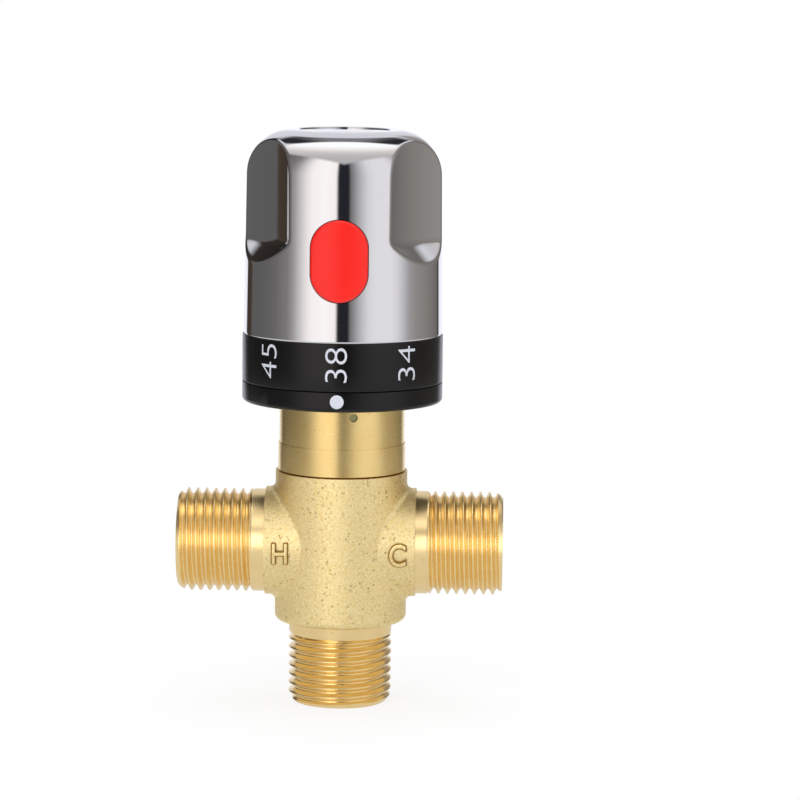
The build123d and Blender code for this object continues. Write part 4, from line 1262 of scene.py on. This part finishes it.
def make_body():
    """The casting without its thread blanks, turned brass at its collars, and the three cut threads."""
    body = merged_copy("valve_body", "cast_body")
    body.data.materials.clear()
    for material in (CAST, OUTLET_BRASS, INLET_BRASS):
        body.data.materials.append(material)
    for _, seat, _, _ in THREADS:
        cut(body, tube_cutter(*seat))
    edit(body)
    bpy.ops.mesh.remove_doubles(threshold=3 * WELD)
    leave_edit()
    turned_radius = COLLAR_RADIUS + 5 * NEAR
    for polygon in body.data.polygons:
        middle = polygon.center / MM
        reach = abs(middle.x)
        across = math.hypot(middle.y, middle.z - INLET_AXIS)
        round_outlet = math.hypot(middle.x, middle.y) < turned_radius
        if middle.z < OUTLET_THREAD + COLLAR_LENGTH and round_outlet:
            polygon.material_index = 1
        elif reach > INLET_REACH - INLET_THREAD - COLLAR_LENGTH and across < turned_radius:
            polygon.material_index = 2
        else:
            polygon.material_index = 0
    smooth(body)
    finish_piece(body, "valve", "cast_brass", None, "valve_body")
    CASTING.objects.link(body)
    for name, (length, place, turn), material, group in THREADS:
        thread = thread_sleeve(name, length)
        put(thread, place, turn)
        smooth(thread, 50.0)
        finish_piece(thread, "valve", "cast_brass", material)
        group.objects.link(thread)


make_body()


# Raised letters on the two bosses

BOSS_RADIUS = 10.85
LETTER_PLACE = 11.7
LETTER_DROP = -0.9
# Each letter, the side it stands on, and its width and height
LETTERS = (("H", -1, 3.3, 4.4), ("C", 1, 3.6, 4.9))
LETTER_THINNER = 0.012
LETTER_BEVEL = 0.055
LETTER_SINK = 0.4
LETTER_LIFT = 0.5
# A letter's face counts as its flank, which takes the painted shade, where it leans further than this
# cosine
FLANK_LIMIT = 0.97


def make_letters():
    """Raised letters that follow the round of each boss, with painted shade on their flanks."""
    for text, side, width, height in LETTERS:
        word = written(f"letter_{text}", text, LETTER_THINNER, LETTER_BEVEL)
        spots = sized(word, width, height, LETTER_SINK + LETTER_LIFT)
        set_points(word, spots)
        cut_across(word, height)
        spots = points_of(word)
        rise = (spots[:, 1] + LETTER_DROP) / BOSS_RADIUS
        radius = BOSS_RADIUS + spots[:, 2] + (LETTER_LIFT - LETTER_SINK) / 2
        across = side * LETTER_PLACE + spots[:, 0]
        up = INLET_AXIS + radius * np.sin(rise)
        set_points(word, np.stack([across, -radius * np.cos(rise), up], 1))
        smooth(word, 40.0)
        finish_piece(word, "valve", "cast_brass", CAST)
        # Faces that lean away from the boss take the darker copy: painted shade on the letters' flanks
        word.data.materials.append(CAST_PAINTED_SHADE)
        for polygon in word.data.polygons:
            middle = polygon.center / MM
            outward = Vector((0, middle.y, middle.z - INLET_AXIS)).normalized()
            if polygon.normal.dot(outward) < FLANK_LIMIT:
                polygon.material_index = 1
        CASTING.objects.link(word)


make_letters()


# Pieces inside, and those that the inlets show

INSIDE = {
    STEEL: ["handle_screw", "spindle_clip", "nut_clip", "element_piston"],
    NECK_BRASS: ["spindle", "adjusting_nut", "piston_cup", "spool"],
    COPPER: ["wax_element"],
    RUBBER: [
        "lower_o_ring", "separator_o_ring", "upper_o_ring", "spindle_o_rings", "spool_o_ring",
        "hot_poppet_seal", "cold_poppet_seal",
    ],
    WHITE: ["hot_poppet", "cold_poppet"],
}
for material, names in INSIDE.items():
    for name in names:
        mesh = frame["nodes"][name].data
        mesh.materials.clear()
        mesh.materials.append(material)

for side in ("hot", "cold"):
    body_piece = merged_copy(f"{side}_check_body", f"{side}_check_moulding")
    finish_piece(body_piece, "valve", "white_plastic", WHITE, f"{side}_check_body")
    strainer = merged_copy(f"{side}_strainer", f"{side}_strainer_cup")
    finish_piece(strainer, "valve", "stainless_steel", STEEL, f"{side}_strainer")


# Each spring's node, body, the joint that shortens it, its axis, whether its fixed end is the lower
# one, and the joint's travel in millimetres
SPRINGS = (
    ("return_spring", "valve", "spool_travel", 2, True, 0.5),
    ("overload_spring", "regulator", "overload_lift", 2, False, 1.0),
    ("button_spring", "handle", "stop_button_press", 1, False, 1.5),
    ("hot_check_spring", "valve", "hot_check_open", 0, False, 1.5),
    ("cold_check_spring", "valve", "cold_check_open", 0, True, 1.5),
)


def make_springs():
    """Merged, smooth-shaded copies of the springs on their bodies; nothing yet makes them shorten with
    their joints.
    """
    for node, body_name, joint, axis, fixed_low, travel in SPRINGS:
        coil = merged_copy(node, f"{node}_coil", 70.0)
        finish_piece(coil, body_name, "stainless_steel", STEEL, node)
        along = Vector((0, 0, 0))
        along[axis] = 1
        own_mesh(coil)


make_springs()
